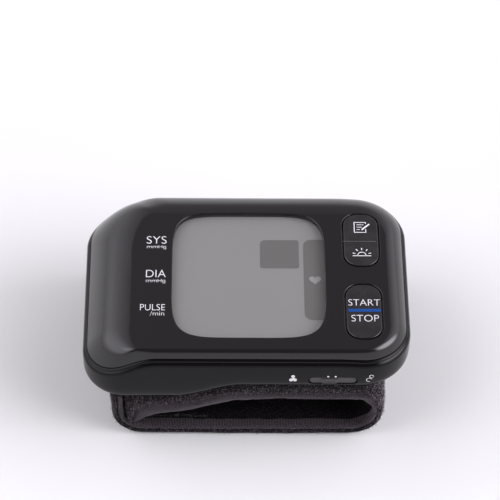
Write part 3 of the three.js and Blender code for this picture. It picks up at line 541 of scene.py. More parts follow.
# Painted shade: a darker, less shiny copy of the gloss black for the lower half of the casing.
case_black = gloss_black("case_black", 0.16, (0.0030, 0.0025, 0.0030))
binding = ribbed_binding()
# The lining is a real dark jersey, darkened further as painted shade for the inside of the cuff's opening.
shade_darkened_lining = jersey()
thread = yarn("thread", (0.008, 0.007, 0.008), (0.03, 0.026, 0.03))
pile = yarn("pile", (0.012, 0.0095, 0.0115), (0.36, 0.31, 0.35))
for part in frame["record"]["subparts"]:
    node = frame["nodes"][part["node"]]
    for material_slot in node.material_slots:
        material_slot.material = finishes[part["material_slot"]]
print(len(finishes), "finishes on", len(frame["record"]["subparts"]), "packed pieces")

# %% [markdown]
# ## Meshes from rings
#
# The casing's shapes are smooth in every direction, so they are drawn as stacks of rings joined by quads.
# Sculpting or a subdivided box would be quicker to start, but only rings keep the exact sizes of the packed
# model. Holes are cut afterwards by exact booleans, with cutters whose rims flare, so that a cut leaves the
# small rounded edge that moulded plastic has. Weighted normals then keep the flat face flat.


# %% Ring tools
SHARP_ANGLE = math.radians(32)


def plain_mesh(name, points, faces):
    """A mesh object from points in metres and faces, as they are."""
    mesh = bpy.data.meshes.new(name)
    mesh.from_pydata(points, [], faces)
    piece = bpy.data.objects.new(name, mesh)
    bpy.context.scene.collection.objects.link(piece)
    return piece


def object_from(name, points, faces, finish_numbers=None):
    """The same with doubled points merged and all faces turned outwards."""
    piece = plain_mesh(name, points, faces)
    mesh = piece.data
    if finish_numbers:
        mesh.polygons.foreach_set("material_index", finish_numbers)
    work = bmesh.new()
    work.from_mesh(mesh)
    bmesh.ops.remove_doubles(work, verts=work.verts, dist=1e-7)
    bmesh.ops.recalc_face_normals(work, faces=work.faces)
    work.to_mesh(mesh)
    work.free()
    return piece


def loft(name, rings):
    """A closed solid through rings of millimetre points. Its two ends are closed by strips across."""
    count = len(rings[0])
    points = [place(*point) for ring in rings for point in ring]
    faces = []
    for k in range(len(rings) - 1):
        for i in range(count):
            a = k * count + i
            b = k * count + (i + 1) % count
            faces.append((a, a + count, b + count, b))
    for base in (0, (len(rings) - 1) * count):
        for i in range(count // 2):
            strip = (i, i + 1, (count - i - 1) % count, (count - i) % count)
            faces.append([base + j for j in dict.fromkeys(strip)])
    return object_from(name, points, faces)


def settle(piece):
    """Works a piece's modifiers into its mesh."""
    graph = bpy.context.evaluated_depsgraph_get()
    mesh = bpy.data.meshes.new_from_object(piece.evaluated_get(graph))
    piece.modifiers.clear()
    piece.data = mesh
    return piece


def cut(piece, cutters, operation="DIFFERENCE"):
    """Cuts each cutter out of a piece, or keeps only what they share, and clears the cutters away."""
    for cutter in cutters:
        modifier = piece.modifiers.new("cut", "BOOLEAN")
        modifier.operation = operation
        modifier.solver = "EXACT"
        modifier.object = cutter
        settle(piece)
        bpy.data.objects.remove(cutter)
    return piece


def shade_round(piece):
    """Smooth shading all over a piece."""
    piece.data.polygons.foreach_set("use_smooth", [True] * len(piece.data.polygons))


def smooth(piece):
    """Smooth shading that follows the larger faces and stays crisp at sharp edges."""
    shade_round(piece)
    piece.data.set_sharp_from_angle(angle=SHARP_ANGLE)
    modifier = piece.modifiers.new("even_normals", "WEIGHTED_NORMAL")
    modifier.keep_sharp = True
    modifier.weight = 80
    return settle(piece)


def dress(piece, material, slot, body, *nodes):
    """Gives a piece its finish, lets it ride on a body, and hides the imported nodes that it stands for."""
    piece.data.materials.clear()
    piece.data.materials.append(material)
    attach(piece, body)
    if nodes:
        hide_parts(*nodes)
    return piece


# %% [markdown]
# ## The casing's lines
#
# Three lines shape the casing: the outline of the flat face, the wavy seam between cover and case, and the
# underside, which drops at the battery end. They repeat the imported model's sizes, with many more steps.

# %% Sizes and lines of the casing
CASE_LENGTH = 91
CASE_WIDTH = 63.4
CASE_DEPTH = 13.4
BATTERY_BULGE = 5.2
BULGE_START = 1
BULGE_RUN = 19
COVER_WALL = 1.4
CASE_WALL = 1.5
FIT = 0.3
SHOULDER_REACH = 1.3
SHOULDER_DROP = 2.1
BEAD_REACH = 0.45
BEAD_DROP = 0.35
GROOVE_DROP = 0.85
BOTTOM_TUCK = 4
WALL_SQUARENESS = 6
SEAM_DROP = 2.6
SEAM_DIP = 7
SEAM_DIP_RUN = 19.6
SEAM_END_RUN = 19.8
ROLL_REACH = 0.62
ROLL_FALL = 0.11
SEAM_HALF = (CASE_LENGTH / 2 - SHOULDER_REACH, CASE_WIDTH / 2 - SHOULDER_REACH)
SIDE_STEPS = 60
END_STEPS = 14
CORNER_STEPS = 22
WALL_STEPS = 20


def smooth_step(value):
    t = min(max(value, 0), 1)
    return t * t * (3 - 2 * t)


def underside(x):
    return -(CASE_DEPTH + BATTERY_BULGE * smooth_step((-x - BULGE_START) / BULGE_RUN))


def seam_height(x, y):
    tilt = (y + SEAM_HALF[1]) / (2 * SEAM_HALF[1])
    left = SEAM_DIP * smooth_step((-x - SEAM_HALF[0] + SEAM_DIP_RUN) / SEAM_DIP_RUN)
    right_end = smooth_step((x - SEAM_HALF[0] + SEAM_END_RUN) / SEAM_END_RUN)
    return -(SEAM_DROP + tilt + left + right_end)


def outline(left, right, front, rear, corners, steps=(SIDE_STEPS, END_STEPS, CORNER_STEPS)):
    """Points round a rectangle with elliptic corners, anticlockwise from the middle of its right side.
    Each is (x, y, outward x, outward y). The corners are rear right, rear left, front left, front right."""
    long_steps, short_steps, corner_steps = steps
    middle = (front + rear) / 2
    points = []

    def side(start, end, count, out):
        for i in range(count):
            t = i / count
            points.append((start[0] + (end[0] - start[0]) * t, start[1] + (end[1] - start[1]) * t, *out))

    def corner(centre, radii, turn):
        for i in range(corner_steps):
            angle = turn + math.pi / 2 * i / corner_steps
            out = (math.cos(angle), math.sin(angle))
            points.append((centre[0] + radii[0] * out[0], centre[1] + radii[1] * out[1], *out))

    (a, b), (c, d), (e, f), (g, h) = corners
    side((right, middle), (right, rear - b), short_steps // 2, (1, 0))
    corner((right - a, rear - b), (a, b), 0)
    side((right - a, rear), (left + c, rear), long_steps, (0, 1))
    corner((left + c, rear - d), (c, d), math.pi / 2)
    side((left, rear - d), (left, middle), short_steps // 2, (-1, 0))
    side((left, middle), (left, front + f), short_steps // 2, (-1, 0))
    corner((left + e, front + f), (e, f), math.pi)
    side((left + e, front), (right - g, front), long_steps, (0, -1))
    corner((right - g, front + h), (g, h), 1.5 * math.pi)
    side((right, front + h), (right, middle), short_steps // 2, (1, 0))
    return points


seam = outline(
    -SEAM_HALF[0], SEAM_HALF[0], -SEAM_HALF[1], SEAM_HALF[1],
    ((12.8, 12.8), (11.2, 11.2), (11.2, 11.2), (12.8, 12.8)),
)
face = outline(-32.2, 39.4, -28.9, 21.0, ((9, 9), (6, 17), (2.6, 8), (8, 9)))
print("seam of", len(seam), "points, from", round(seam_height(-44.2, -30.4), 1), "to", seam_height(0, -30.4))


# %% Rings of the casing
def seam_ring(out, height):
    """The seam moved out by a distance, with a height that is worked out for each point."""
    ring = []
    for x, y, out_x, out_y in seam:
        moved = x + out_x * out
        ring.append((moved, y + out_y * out, height(x, y, moved)))
    return ring


def roll_rings(wall):
    """Rings of the face's rolled edge, from the flat part down to the seam."""
    rings = []
    for t in (0, 0.02, 0.05, 0.09, *[0.14 + 0.86 * i / 22 for i in range(23)]):
        shares = ((1 - t) ** 2, 2 * t * (1 - t), t ** 2)
        ring = []
        for (x, y, out_x, out_y), (face_x, face_y, _, _) in zip(seam, face):
            start = (face_x - out_x * wall, face_y - out_y * wall)
            end = (x - out_x * wall, y - out_y * wall)
            reach = math.dist(start, end) * ROLL_REACH
            control = [s + (e - s) * ROLL_REACH for s, e in zip(start, end)]
            heights = (-wall, -wall - reach * ROLL_FALL, seam_height(x, y))
            runs = (*zip(start, control, end), heights)
            ring.append([sum(share * value for share, value in zip(shares, run)) for run in runs])
        rings.append(ring)
    return rings


def wall_rings(wall):
    """Rings of the lower case's wall, from under the shoulder round to the underside."""
    rings = []
    for k in range(WALL_STEPS + 1):
        angle = math.pi / 2 * k / WALL_STEPS
        in_share = 1 - max(math.cos(angle), 0) ** (2 / WALL_SQUARENESS)
        down_share = math.sin(angle) ** (2 / WALL_SQUARENESS)

        def height(x, y, moved):
            top = seam_height(x, y) - FIT - SHOULDER_DROP
            return top + (underside(moved) + wall - top) * down_share

        rings.append(seam_ring(SHOULDER_REACH - wall - BOTTOM_TUCK * in_share, height))
    return rings


def shoulder_ring(out, drop):
    return seam_ring(out, lambda x, y, moved: seam_height(x, y) - drop)


# %% [markdown]
# ## Openings
#
# The window is a rectangle with soft sides, which a power of the sine and cosine gives. The keys are
# rounded rectangles. Both are cut with a flared cutter: its top rings follow a quarter circle.


# %% Outlines of the window and the keys
WINDOW = (0.6, -1.75, 42.7, 46.2)
WINDOW_POWER = 2 / 5.2
WINDOW_STEPS = 200
WINDOW_LIP = 0.22
KEY_X = 32.4
KEY_WIDTH = 9.8
KEY_LENGTH = 19.5
KEY_RADIUS = 4.2
KEY_GAP = 0.42
KEY_LIP = 0.24
START_Y = -15.3
MEMORY_Y = 11.2
CUT_BOTTOM = -6


def window_outline(margin):
    centre_x, centre_y, width, height = WINDOW
    points = []
    for i in range(WINDOW_STEPS):
        angle = 2 * math.pi * i / WINDOW_STEPS
        c, s = math.cos(angle), math.sin(angle)
        points.append((
            centre_x + (width / 2 + margin) * math.copysign(abs(c) ** WINDOW_POWER, c),
            centre_y + (height / 2 + margin) * math.copysign(abs(s) ** WINDOW_POWER, s),
        ))
    return points


def key_outline(centre_y, margin):
    corners = ((KEY_RADIUS + margin, KEY_RADIUS + margin),) * 4
    reach = (KEY_WIDTH / 2 + margin, KEY_LENGTH / 2 + margin)
    box = (KEY_X - reach[0], KEY_X + reach[0], centre_y - reach[1], centre_y + reach[1])
    return [point[:2] for point in outline(*box, corners, (2, 12, 14))]


def opening(name, lines, lip):
    """A cutter that goes down through the cover, with a rim that flares to a rounded edge."""
    rings = [[(x, y, 2) for x, y in lines(lip)]]
    for k in range(1, 7):
        angle = math.pi / 2 * k / 6
        rings.append([(x, y, -lip * (1 - math.cos(angle))) for x, y in lines(lip * (1 - math.sin(angle)))])
    rings.append([(x, y, CUT_BOTTOM) for x, y in lines(0)])
    return loft(name, rings)


def key_opening(name, centre_y):
    side_gap = (FIT + KEY_GAP) / 2
    return opening(name, lambda margin: key_outline(centre_y, side_gap + margin), KEY_LIP)


# %% [markdown]
# ## Top cover
#
# One shell of even thickness: the rolled outer face, the same face moved in for the inside, and three
# openings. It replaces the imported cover, which has the same form in far fewer facets.

# %% Make the top cover
cover = loft("cover_shell", [*roll_rings(0), *reversed(roll_rings(COVER_WALL))])
cut(cover, [
    opening("window_cutter", window_outline, WINDOW_LIP),
    key_opening("start_cutter", START_Y),
    key_opening("memory_cutter", MEMORY_Y),
])
smooth(cover)
dress(cover, finishes["gloss_black"], "gloss_black", "monitor", "top_cover")
print("cover shell:", len(cover.data.polygons), "faces")

# %% [markdown]
# ## Lower case and battery cover
#
# The case starts at the seam with a fine bead and a groove, swells to the shoulder and tucks in to the
# underside. The battery cover is the same skin, kept only inside the tunnel that the case is cut by, so the
# two always meet with an even gap. Ribs and the bay's wall stand inside the skin.

# %% Make the lower case
shoulder = [
    shoulder_ring(-CASE_WALL, FIT),
    shoulder_ring(-0.12, FIT),
    shoulder_ring(0.1, FIT + 0.06),
    shoulder_ring(0.33, FIT + 0.18),
    shoulder_ring(BEAD_REACH, FIT + BEAD_DROP),
    shoulder_ring(BEAD_REACH, FIT + GROOVE_DROP - 0.12),
    shoulder_ring(BEAD_REACH + 0.06, FIT + GROOVE_DROP),
    shoulder_ring(0.72, FIT + 0.98),
    shoulder_ring(0.98, FIT + 1.27),
    shoulder_ring(1.18, FIT + 1.67),
]
skin_rings = [*reversed(wall_rings(CASE_WALL)), *shoulder, *wall_rings(0)]

DOOR_HALF = 22.75
RIGHT_CELL_X = -23.6
CELL_RADIUS = 5.25
DOOR_RIGHT = RIGHT_CELL_X + CELL_RADIUS - 0.9
DOOR_TOP = -15.0
SWITCH_X = 23.8
SWITCH_Z = -10.5
SCOOP = (13.4, 2.8, 0.7)
TRACK_DEPTH = 0.4
SLOT_HALF = (3.8, 0.75)
SCREW_X = 40.35
SCREW_Y = 10


def block(name, low, high):
    """A box between two millimetre corners, for cutting and for plain inner walls."""
    ring = [(low[0], low[1]), (high[0], low[1]), (high[0], high[1]), (low[0], high[1])]
    return loft(name, [[(x, y, z) for x, y in ring] for z in (low[2], high[2])])


def wall_y(x, z):
    """How far forward the front wall stands at a place along the casing and a height."""
    top = seam_height(x, -SEAM_HALF[1]) - FIT - SHOULDER_DROP
    down = min(max((z - top) / (underside(x) - top), 0), 1)
    in_share = 1 - (1 - down ** WALL_SQUARENESS) ** (1 / WALL_SQUARENESS)
    return -(SEAM_HALF[1] + SHOULDER_REACH - BOTTOM_TUCK * in_share)


def stadium(x, z, length, height, margin=0):
    """A slot with round ends, as points in X and Z."""
    radius = height / 2 + margin
    box = (x - length / 2 - margin, x + length / 2 + margin, z - radius, z + radius)
    return [point[:2] for point in outline(*box, ((radius, radius),) * 4, (4, 2, 10))]


WALL_FRONT = wall_y(SWITCH_X, SWITCH_Z)


def scoop_cutter():
    """Cuts the switch's recess. Each ring is how deep it lies in the wall and how far it flares."""
    rings = []
    for depth, margin in ((-3, 0.5), (-0.15, 0.24), (0.0, 0.12), (0.15, 0.04), (0.3, 0), (SCOOP[2], -0.15)):
        slot_line = stadium(SWITCH_X, SWITCH_Z, SCOOP[0], SCOOP[1], margin)
        rings.append([(x, WALL_FRONT + depth, z) for x, z in slot_line])
    return loft("scoop_cutter", rings)


def tunnel(name, margin):
    return block(
        name,
        (-CASE_LENGTH, -DOOR_HALF - margin, -24),
        (DOOR_RIGHT + margin, DOOR_HALF + margin, DOOR_TOP + margin),
    )


def screw_hole(name, y):
    """A round cutter from below the underside up to the screw's seat."""
    angles = [2 * math.pi * i / 32 for i in range(32)]
    ring = [(SCREW_X + 2 * math.cos(angle), y + 2 * math.sin(angle)) for angle in angles]
    return loft(name, [[(px, py, z) for px, py in ring] for z in (-16, -11.8)])


case = loft("case_shell", skin_rings)
cut(case, [
    tunnel("door_tunnel", FIT),
    scoop_cutter(),
    block(
        "switch_slot",
        (SWITCH_X - SLOT_HALF[0], -40, SWITCH_Z - SLOT_HALF[1]),
        (SWITCH_X + SLOT_HALF[0], -27, SWITCH_Z + SLOT_HALF[1]),
    ),
    screw_hole("screw_hole_1", -SCREW_Y),
    screw_hole("screw_hole_2", SCREW_Y),
])
smooth(case)
dress(case, case_black, "gloss_black", "monitor", "lower_case")
print("case shell:", len(case.data.polygons), "faces")

# %% Make the battery cover
GRIP_X = -29.1
GRIP_PITCH = 1.7
GRIP_LINES = 4


def grip_groove(number):
    x = GRIP_X + (number - (GRIP_LINES - 1) / 2) * GRIP_PITCH
    return block(f"grip_{number}", (x - 0.35, -8, -20), (x + 0.35, 8, -18.2))


door = loft("battery_door", skin_rings)
cut(door, [tunnel("door_block", 0)], "INTERSECT")
cut(door, [grip_groove(number) for number in range(GRIP_LINES)])
smooth(door)
dress(door, case_black, "gloss_black", "door", "battery_cover")
print("battery cover:", len(door.data.polygons), "faces")

# %% Make the bay's inner walls
BAY_WALL_X = -17.85
BAY_RIB_Y = 24.95
BAY_RIB_LEFT = -44.2
BAY_RIB_TOP = -11.55
BAY_WALL_HALF = 30.4
BAY_WALL_TOP = -5.7
BAY_FLOOR = -18.6
BAY_THICKNESS = 1


def inner_space():
    """The room inside the lower case's skin, which trims plain walls to its curves."""
    inside = CASE_WALL - 0.1
    return loft("inner_space", [*reversed(wall_rings(inside)), shoulder_ring(-inside, FIT)])


bay_walls = [
    block(
        "bay_wall",
        (BAY_WALL_X, -BAY_WALL_HALF, BAY_FLOOR),
        (BAY_WALL_X + BAY_THICKNESS, BAY_WALL_HALF, BAY_WALL_TOP),
    ),
    block(
        "bay_rib_front",
        (BAY_RIB_LEFT, -BAY_RIB_Y - BAY_THICKNESS, BAY_FLOOR),
        (BAY_WALL_X, -BAY_RIB_Y, BAY_RIB_TOP),
    ),
    block(
        "bay_rib_rear",
        (BAY_RIB_LEFT, BAY_RIB_Y, BAY_FLOOR),
        (BAY_WALL_X, BAY_RIB_Y + BAY_THICKNESS, BAY_RIB_TOP),
    ),
]
for bay_wall in bay_walls:
    cut(bay_wall, [inner_space()], "INTERSECT")
    dress(smooth(bay_wall), case_black, "gloss_black", "monitor")
print("bay walls:", [bay_wall.name for bay_wall in bay_walls])

# %% [markdown]
# ## User switch
#
# The knob is a small ridged slider in a long shallow recess. Its ridges run up and down, so a thumb nail can
# push it. The knob and a thin film on the recess floor are a light grey: painted light, for the light that
# the recess catches.

# %% Make the knob and its track
knob_low, knob_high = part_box("user_switch_knob")
KNOB_LENGTH = (knob_high.x - knob_low.x) / MM
KNOB_HEIGHT = 1.7
KNOB_RIDGES = 5
KNOB_X = (knob_high.x + knob_low.x) / 2 / MM
knob_shape = [(0, WALL_FRONT + 0.5), (0, WALL_FRONT), (0.06, WALL_FRONT - 0.18), (0.3, WALL_FRONT - 0.25)]
knob = loft("knob_slider", [
    [(x, y, z) for x, z in stadium(KNOB_X, SWITCH_Z, KNOB_LENGTH, KNOB_HEIGHT, -margin)]
    for margin, y in knob_shape
])
RIDGE_PITCH = KNOB_LENGTH * 0.62 / (KNOB_RIDGES - 1)


def ridge_groove(number):
    x = KNOB_X + (number - (KNOB_RIDGES - 1) / 2) * RIDGE_PITCH
    low = (x - 0.13, WALL_FRONT - 1, SWITCH_Z - 0.6)
    high = (x + 0.13, WALL_FRONT - 0.05, SWITCH_Z + 0.6)
    return block(f"ridge_{number}", low, high)


cut(knob, [ridge_groove(number) for number in range(KNOB_RIDGES)])
smooth(knob)
# The knob gets the same painted light grey as the recess floor.
dress(knob, track_grey, "matte_black", "knob", "user_switch_knob")
print("knob:", len(knob.data.polygons), "faces")

# %% [markdown]
# ## Keys
#
# Each key is a low pillow that stands just above the face, with a flange below that keeps it in. The top is
# drawn by shrinking the key's own outline, so the light runs round it in even bands.

# %% Make the keys
KEY_CROWN = 0.12
KEY_PILLOW = 0.03
KEY_EDGE = 0.25
KEY_FLANGE = (0.7, 0.8)


def make_key(name, centre_y, flange_top):
    """Each ring is how far it lies outside the key's outline and how high."""
    rings = []
    for margin in (-3.9, -3, -2, -1.2, -0.7, -0.4):
        rings.append((margin, KEY_CROWN - KEY_PILLOW * ((margin + 3.9) / 3.5) ** 2))
    for k in range(7):
        angle = math.pi / 2 * k / 6
        height = KEY_CROWN - KEY_PILLOW - KEY_EDGE * (1 - math.cos(angle))
        rings.append((-KEY_EDGE * (1 - math.sin(angle)), height))
    reach, thickness = KEY_FLANGE
    flange_bottom = flange_top - thickness
    rings += [(0, flange_top), (reach, flange_top), (reach, flange_bottom), (-1.5, flange_bottom)]
    trim = (KEY_GAP - FIT) / 2
    return loft(name, [[(x, y, z) for x, y in key_outline(centre_y, margin - trim)] for margin, z in rings])


start_key = smooth(make_key("start_key", START_Y, -COVER_WALL - FIT))
dress(start_key, finishes["key_black"], "key_black", "start_stop", "start_stop_key")
memory_key = smooth(make_key("memory_key", MEMORY_Y, -COVER_WALL - 0.95))
dress(memory_key, finishes["key_black"], "key_black", "rocker", "memory_rocker_key")
print("key tops at", KEY_CROWN, "mm above the face")

# %% [markdown]
# ## Printed legends
#
# A print follows the surface that it lies on, so every legend is a flat drawing that is laid on by a small
# function: on the face, on a key, or round the front wall. Words come from Blender's built-in font, fitted
# into the box that they fill. The icons are strokes: ribbons along a line of points.


# %% Ways to lay a print
INK_LIFT = 0.03
FONT_OFFSET = -0.012


def on_face(u, v):
    return place(u, v, INK_LIFT)


def on_key(u, v):
    return place(u, v, KEY_CROWN + INK_LIFT)


def on_wall(u, v):
    return place(u, wall_y(u, v) - INK_LIFT, v)


def words(text, box):
    """A word as flat points and faces that fill a box: left, right, bottom, top."""
    curve = bpy.data.curves.new("words", "FONT")
    curve.body = text
    curve.offset = FONT_OFFSET
    curve.resolution_u = 6
    carrier = bpy.data.objects.new("words", curve)
    bpy.context.scene.collection.objects.link(carrier)
    mesh = bpy.data.meshes.new_from_object(carrier.evaluated_get(bpy.context.evaluated_depsgraph_get()))
    bpy.data.objects.remove(carrier)
    xs = [v.co.x for v in mesh.vertices]
    ys = [v.co.y for v in mesh.vertices]
    left, right_side, bottom, top = box
    points = [(
        left + (x - min(xs)) / (max(xs) - min(xs)) * (right_side - left),
        bottom + (y - min(ys)) / (max(ys) - min(ys)) * (top - bottom),
    ) for x, y in zip(xs, ys)]
    return points, [list(p.vertices) for p in mesh.polygons]


def stroke(line, width):
    """A ribbon of one width along a line of flat points."""
    points = []
    count = len(line)
    for i, (x, y) in enumerate(line):
        before = line[max(i - 1, 0)]
        after = line[min(i + 1, count - 1)]
        into = Vector((x - before[0], y - before[1]))
        out = Vector((after[0] - x, after[1] - y))
        into = into.normalized() if into.length else out.normalized()
        out = out.normalized() if out.length else into
        across = Vector((-(into.y + out.y), into.x + out.x)).normalized()
        across *= width / 2 / max(across.dot(Vector((-into.y, into.x))), 0.4)
        points += [(x + across.x, y + across.y), (x - across.x, y - across.y)]
    faces = [(2 * i, 2 * i + 1, 2 * i + 3, 2 * i + 2) for i in range(count - 1)]
    return points, faces


def unit_letters(box, width):
    """The unit mmHg in thin strokes, because a font's letters close up at this size."""
    arch = [[(0, 0), (0, 0.72)], [(0, 0.62), (0.5, 0.66), (0.5, 0)], [(0.5, 0.66), (1, 0.62), (1, 0)]]
    bars = [[(0, 0), (0, 1)], [(1, 0), (1, 1)], [(0, 0.5), (1, 0.5)]]
    tail = [[(1, 0.1), (0, 0.1), (0, 0.66), (1, 0.66), (1, -0.28), (0, -0.28)]]
    left, right_side, bottom, top = box
    scale = (right_side - left) / 5.9
    start = 0
    drawings = []
    for lines, reach in ((arch, 1.45), (arch, 1.45), (bars, 1.0), (tail, 0.8)):
        for line in lines:
            drawings.append(stroke([
                (left + (start + u * reach) * scale, bottom + v * (top - bottom)) for u, v in line
            ], width))
        start += reach + 0.4
    return drawings


def film(line):
    """The area inside a line of flat points."""
    return line, [list(range(len(line)))]


def blot(centre, radii):
    """A filled ellipse."""
    angles = [math.radians(360 * i / 28) for i in range(28)]
    return film([(centre[0] + radii[0] * math.cos(a), centre[1] + radii[1] * math.sin(a)) for a in angles])


def curve_line(centre, radii, start, end, steps=16):
    return [(
        centre[0] + radii[0] * math.cos(math.radians(start + (end - start) * i / steps)),
        centre[1] + radii[1] * math.sin(math.radians(start + (end - start) * i / steps)),
    ) for i in range(steps + 1)]


def print_on(name, drawings, lay, material, slot, body):
    """Joins flat drawings into one thin piece laid on a surface."""
    points, faces = [], []
    for drawing_points, drawing_faces in drawings:
        base = len(points)
        points += [lay(u, v) for u, v in drawing_points]
        faces += [[base + i for i in f] for f in drawing_faces]
    return dress(plain_mesh(name, points, faces), material, slot, body)


# %% Print the readings' names
readings = [
    words("SYS", (-28.07, -22.45, 9.46, 12.24)),
    *unit_letters((-27.9, -22.66, 7.75, 8.83), 0.13),
    words("DIA", (-28.05, -22.52, -3.09, -0.43)),
    *unit_letters((-27.96, -22.72, -4.95, -3.82), 0.13),
    words("PULSE", (-29.48, -22.58, -15.26, -13.02)),
    words("/min", (-26.68, -22.78, -17.12, -15.56)),
]
print_on("reading_names", readings, on_face, white_ink, "gloss_black", "monitor")

# %% Print the keys
start_words = [
    words("START", (28.16, 36.93, -13.34, -11.06)),
    words("STOP", (28.85, 36.47, -19.09, -16.74)),
]
print_on("start_words", start_words, on_key, white_ink, "key_black", "start_stop")
bar = [stroke([(28.08, -15.05), (37.0, -15.05)], 1.1)]
print_on("start_bar", bar, on_key, blue_ink, "key_black", "start_stop")

divider = [stroke([(27.25, 10.55), (36.55, 10.55)], 0.13)]
print_on("memory_divider", divider, on_key, grey_ink, "key_black", "rocker")

sheet_left, sheet_right, sheet_low, sheet_high = 30.65, 33.9, 13.95, 17.75
memo = [
    stroke([(sheet_right, 15.2), (sheet_right, sheet_low), (sheet_left, sheet_low),
            (sheet_left, sheet_high), (sheet_right, sheet_high), (sheet_right, 17.2)], 0.24),
    stroke([(31.35, 16.85), (33.3, 16.85)], 0.22),
    stroke([(31.35, 15.95), (32.8, 15.95)], 0.22),
    stroke([(31.35, 15.05), (32.2, 15.05)], 0.22),
    stroke([(32.75, 14.95), (34.95, 17.15)], 0.48),
]
sun_line = 5.1
sun = [
    stroke([(29.9, sun_line), (35.1, sun_line)], 0.27),
    stroke(curve_line((32.5, sun_line + 0.2), (1.15, 1.15), 8, 172), 0.26),
]
for turn in (18, 54, 90, 126, 162):
    direction = (math.cos(math.radians(turn)), math.sin(math.radians(turn)))
    ray = [(32.5 + direction[0] * d, sun_line + 0.2 + direction[1] * d) for d in (1.95, 2.75)]
    sun.append(stroke(ray, 0.26))
print_on("memory_icons", memo + sun, on_key, white_ink, "key_black", "rocker")

# %% Print the user marks on the front wall
user_one = [
    blot((12.76, -8.45), (0.52, 0.62)),
    blot((12.22, -9.95), (0.52, 0.68)),
    blot((13.3, -9.95), (0.52, 0.68)),
    blot((12.76, -9.55), (0.4, 0.75)),
]
user_two = [
    stroke(curve_line((34.3, -8.3), (0.55, 0.6), 0, 330), 0.2),
    stroke(curve_line((33.7, -9.8), (0.75, 0.75), 20, 290), 0.2),
]
places = [blot((22.4, -8.45), (0.3, 0.3)), blot((24.45, -8.45), (0.3, 0.3))]
# The recess floor is painted light grey, for the light that it catches.
print_on(
    "switch_track", [film(stadium(SWITCH_X, SWITCH_Z, SCOOP[0], SCOOP[1], -0.3))],
    lambda u, v: place(u, WALL_FRONT + TRACK_DEPTH, v), track_grey, "gloss_black", "monitor",
)
print_on("user_marks", user_one + user_two + places, on_wall, white_ink, "gloss_black", "monitor")

# %% [markdown]
# ## Display
#
# Behind the lens the panel is plain grey while it is off, but the liquid crystal's zones still show as
# slightly darker shapes. The panel's front film and these shapes lie just under the lens.

# %% Lay the display's zones
LENS_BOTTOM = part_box("display_lens")[0].z / MM - FACE
FLANGE_TOP = LENS_BOTTOM + 0.7
DISPLAY_TOP = LENS_BOTTOM - 0.05
see_through = -DISPLAY_TOP / math.tan(VIEW_HEIGHT)


def on_display(lift):
    """Lays a drawing where it shows behind the same points of the face."""
    return lambda u, v: place(u, v + see_through, DISPLAY_TOP + lift)


def rounded(box, corners):
    return [point[:2] for point in outline(*box, corners, (4, 4, 8))]


zone_grey = display_grey("zone_grey", (0.118, 0.111, 0.107))
print_on(
    "display_film", [film(window_outline(0.7))], lambda u, v: place(u, v, DISPLAY_TOP),
    finishes["display_grey"], "display_grey", "monitor",
)
block_zone = film(rounded((3.85, 14.85, 0.3, 11.0), ((0.8, 0.8), (1.6, 1.6), (0.8, 0.8), (0.8, 0.8))))
strip_zone = film(rounded((16.05, 22.6, -18.7, 11.2), ((0.4, 0.4), (2.4, 2.4), (2.4, 2.4), (0.4, 0.4))))
print_on("display_zones", [block_zone, strip_zone], on_display(0.02), zone_grey, "display_grey", "monitor")


def heart(centre, size):
    """A filled heart from its usual trigonometric curve."""
    points = []
    for i in range(40):
        t = 2 * math.pi * i / 40
        x = 16 * math.sin(t) ** 3
        y = 13 * math.cos(t) - 5 * math.cos(2 * t) - 2 * math.cos(3 * t) - math.cos(4 * t)
        points.append((centre[0] + x / 32 * size, centre[1] + y / 32 * size))
    return film(points)


heart_shape = heart((19.25, -3.9), 3.4)
heart_grey = display_grey("heart_grey", (0.275, 0.272, 0.266))
print_on("display_heart", [heart_shape], on_display(0.035), heart_grey, "display_grey", "monitor")
print("the display's film lies", round(-DISPLAY_TOP, 2), "mm below the face")


# %% [markdown]
# ## Display lens
#
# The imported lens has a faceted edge, which throws streaks into the window's corners. This one has the same
# height and flange with a smooth edge. A bevel modifier could round it, but rings give the edge directly.

# %% Make the lens
LENS_EDGE = 0.12
LENS_FLANGE = 0.9
lens_rings = [
    (FIT + LENS_EDGE, LENS_TOP),
    (FIT, LENS_TOP - LENS_EDGE),
    (FIT, FLANGE_TOP),
    (-LENS_FLANGE, FLANGE_TOP),
    (-LENS_FLANGE, LENS_BOTTOM),
]
lens = loft("lens_plate", [[(x, y, z) for x, y in window_outline(-margin)] for margin, z in lens_rings])
smooth(lens)
dress(lens, finishes["clear_lens"], "clear_lens", "monitor", "display_lens")
print("lens plate:", len(lens.data.polygons), "faces")

# %% [markdown]
# ## Cuff
#
# The padded part follows the casing's underside, rounds down at the right, and at the left curves down to a
# thin tip. The strap takes over at the fold and wraps round the outside. Both are bands with an outer and an
# inner line, and a cross-section with a stitched groove near each rim. A remeshed and simulated pad would
# lose that groove, so the section is drawn, and the pressure of the padding is worked in afterwards.

# %% Lines of the cuff
CUFF_TOP = -CASE_DEPTH - FIT
CUFF_RIGHT = 38.6
CUFF_LEFT = -34.0
FOLD_Z = -26.3
STRAP_BOTTOM = -FACE
STRAP_THICKNESS = 3.6
STRAP_LEFT = -37.9
PAD_THICKNESS = 8
PAD_BELOW = FIT + PAD_THICKNESS
PAD_LEFT = -20
PAD_INNER_LEFT = -16
HEEL_RADIUS = 5.5
STRAP_HEEL = 9.4
TOE_RADIUS = 9.85
TIP_RADIUS = 1.3


def arc(centre, radii, start, end, steps=14):
    """A bend of the cuff, as points in X and Z."""
    return curve_line(centre, radii, start, end, steps)


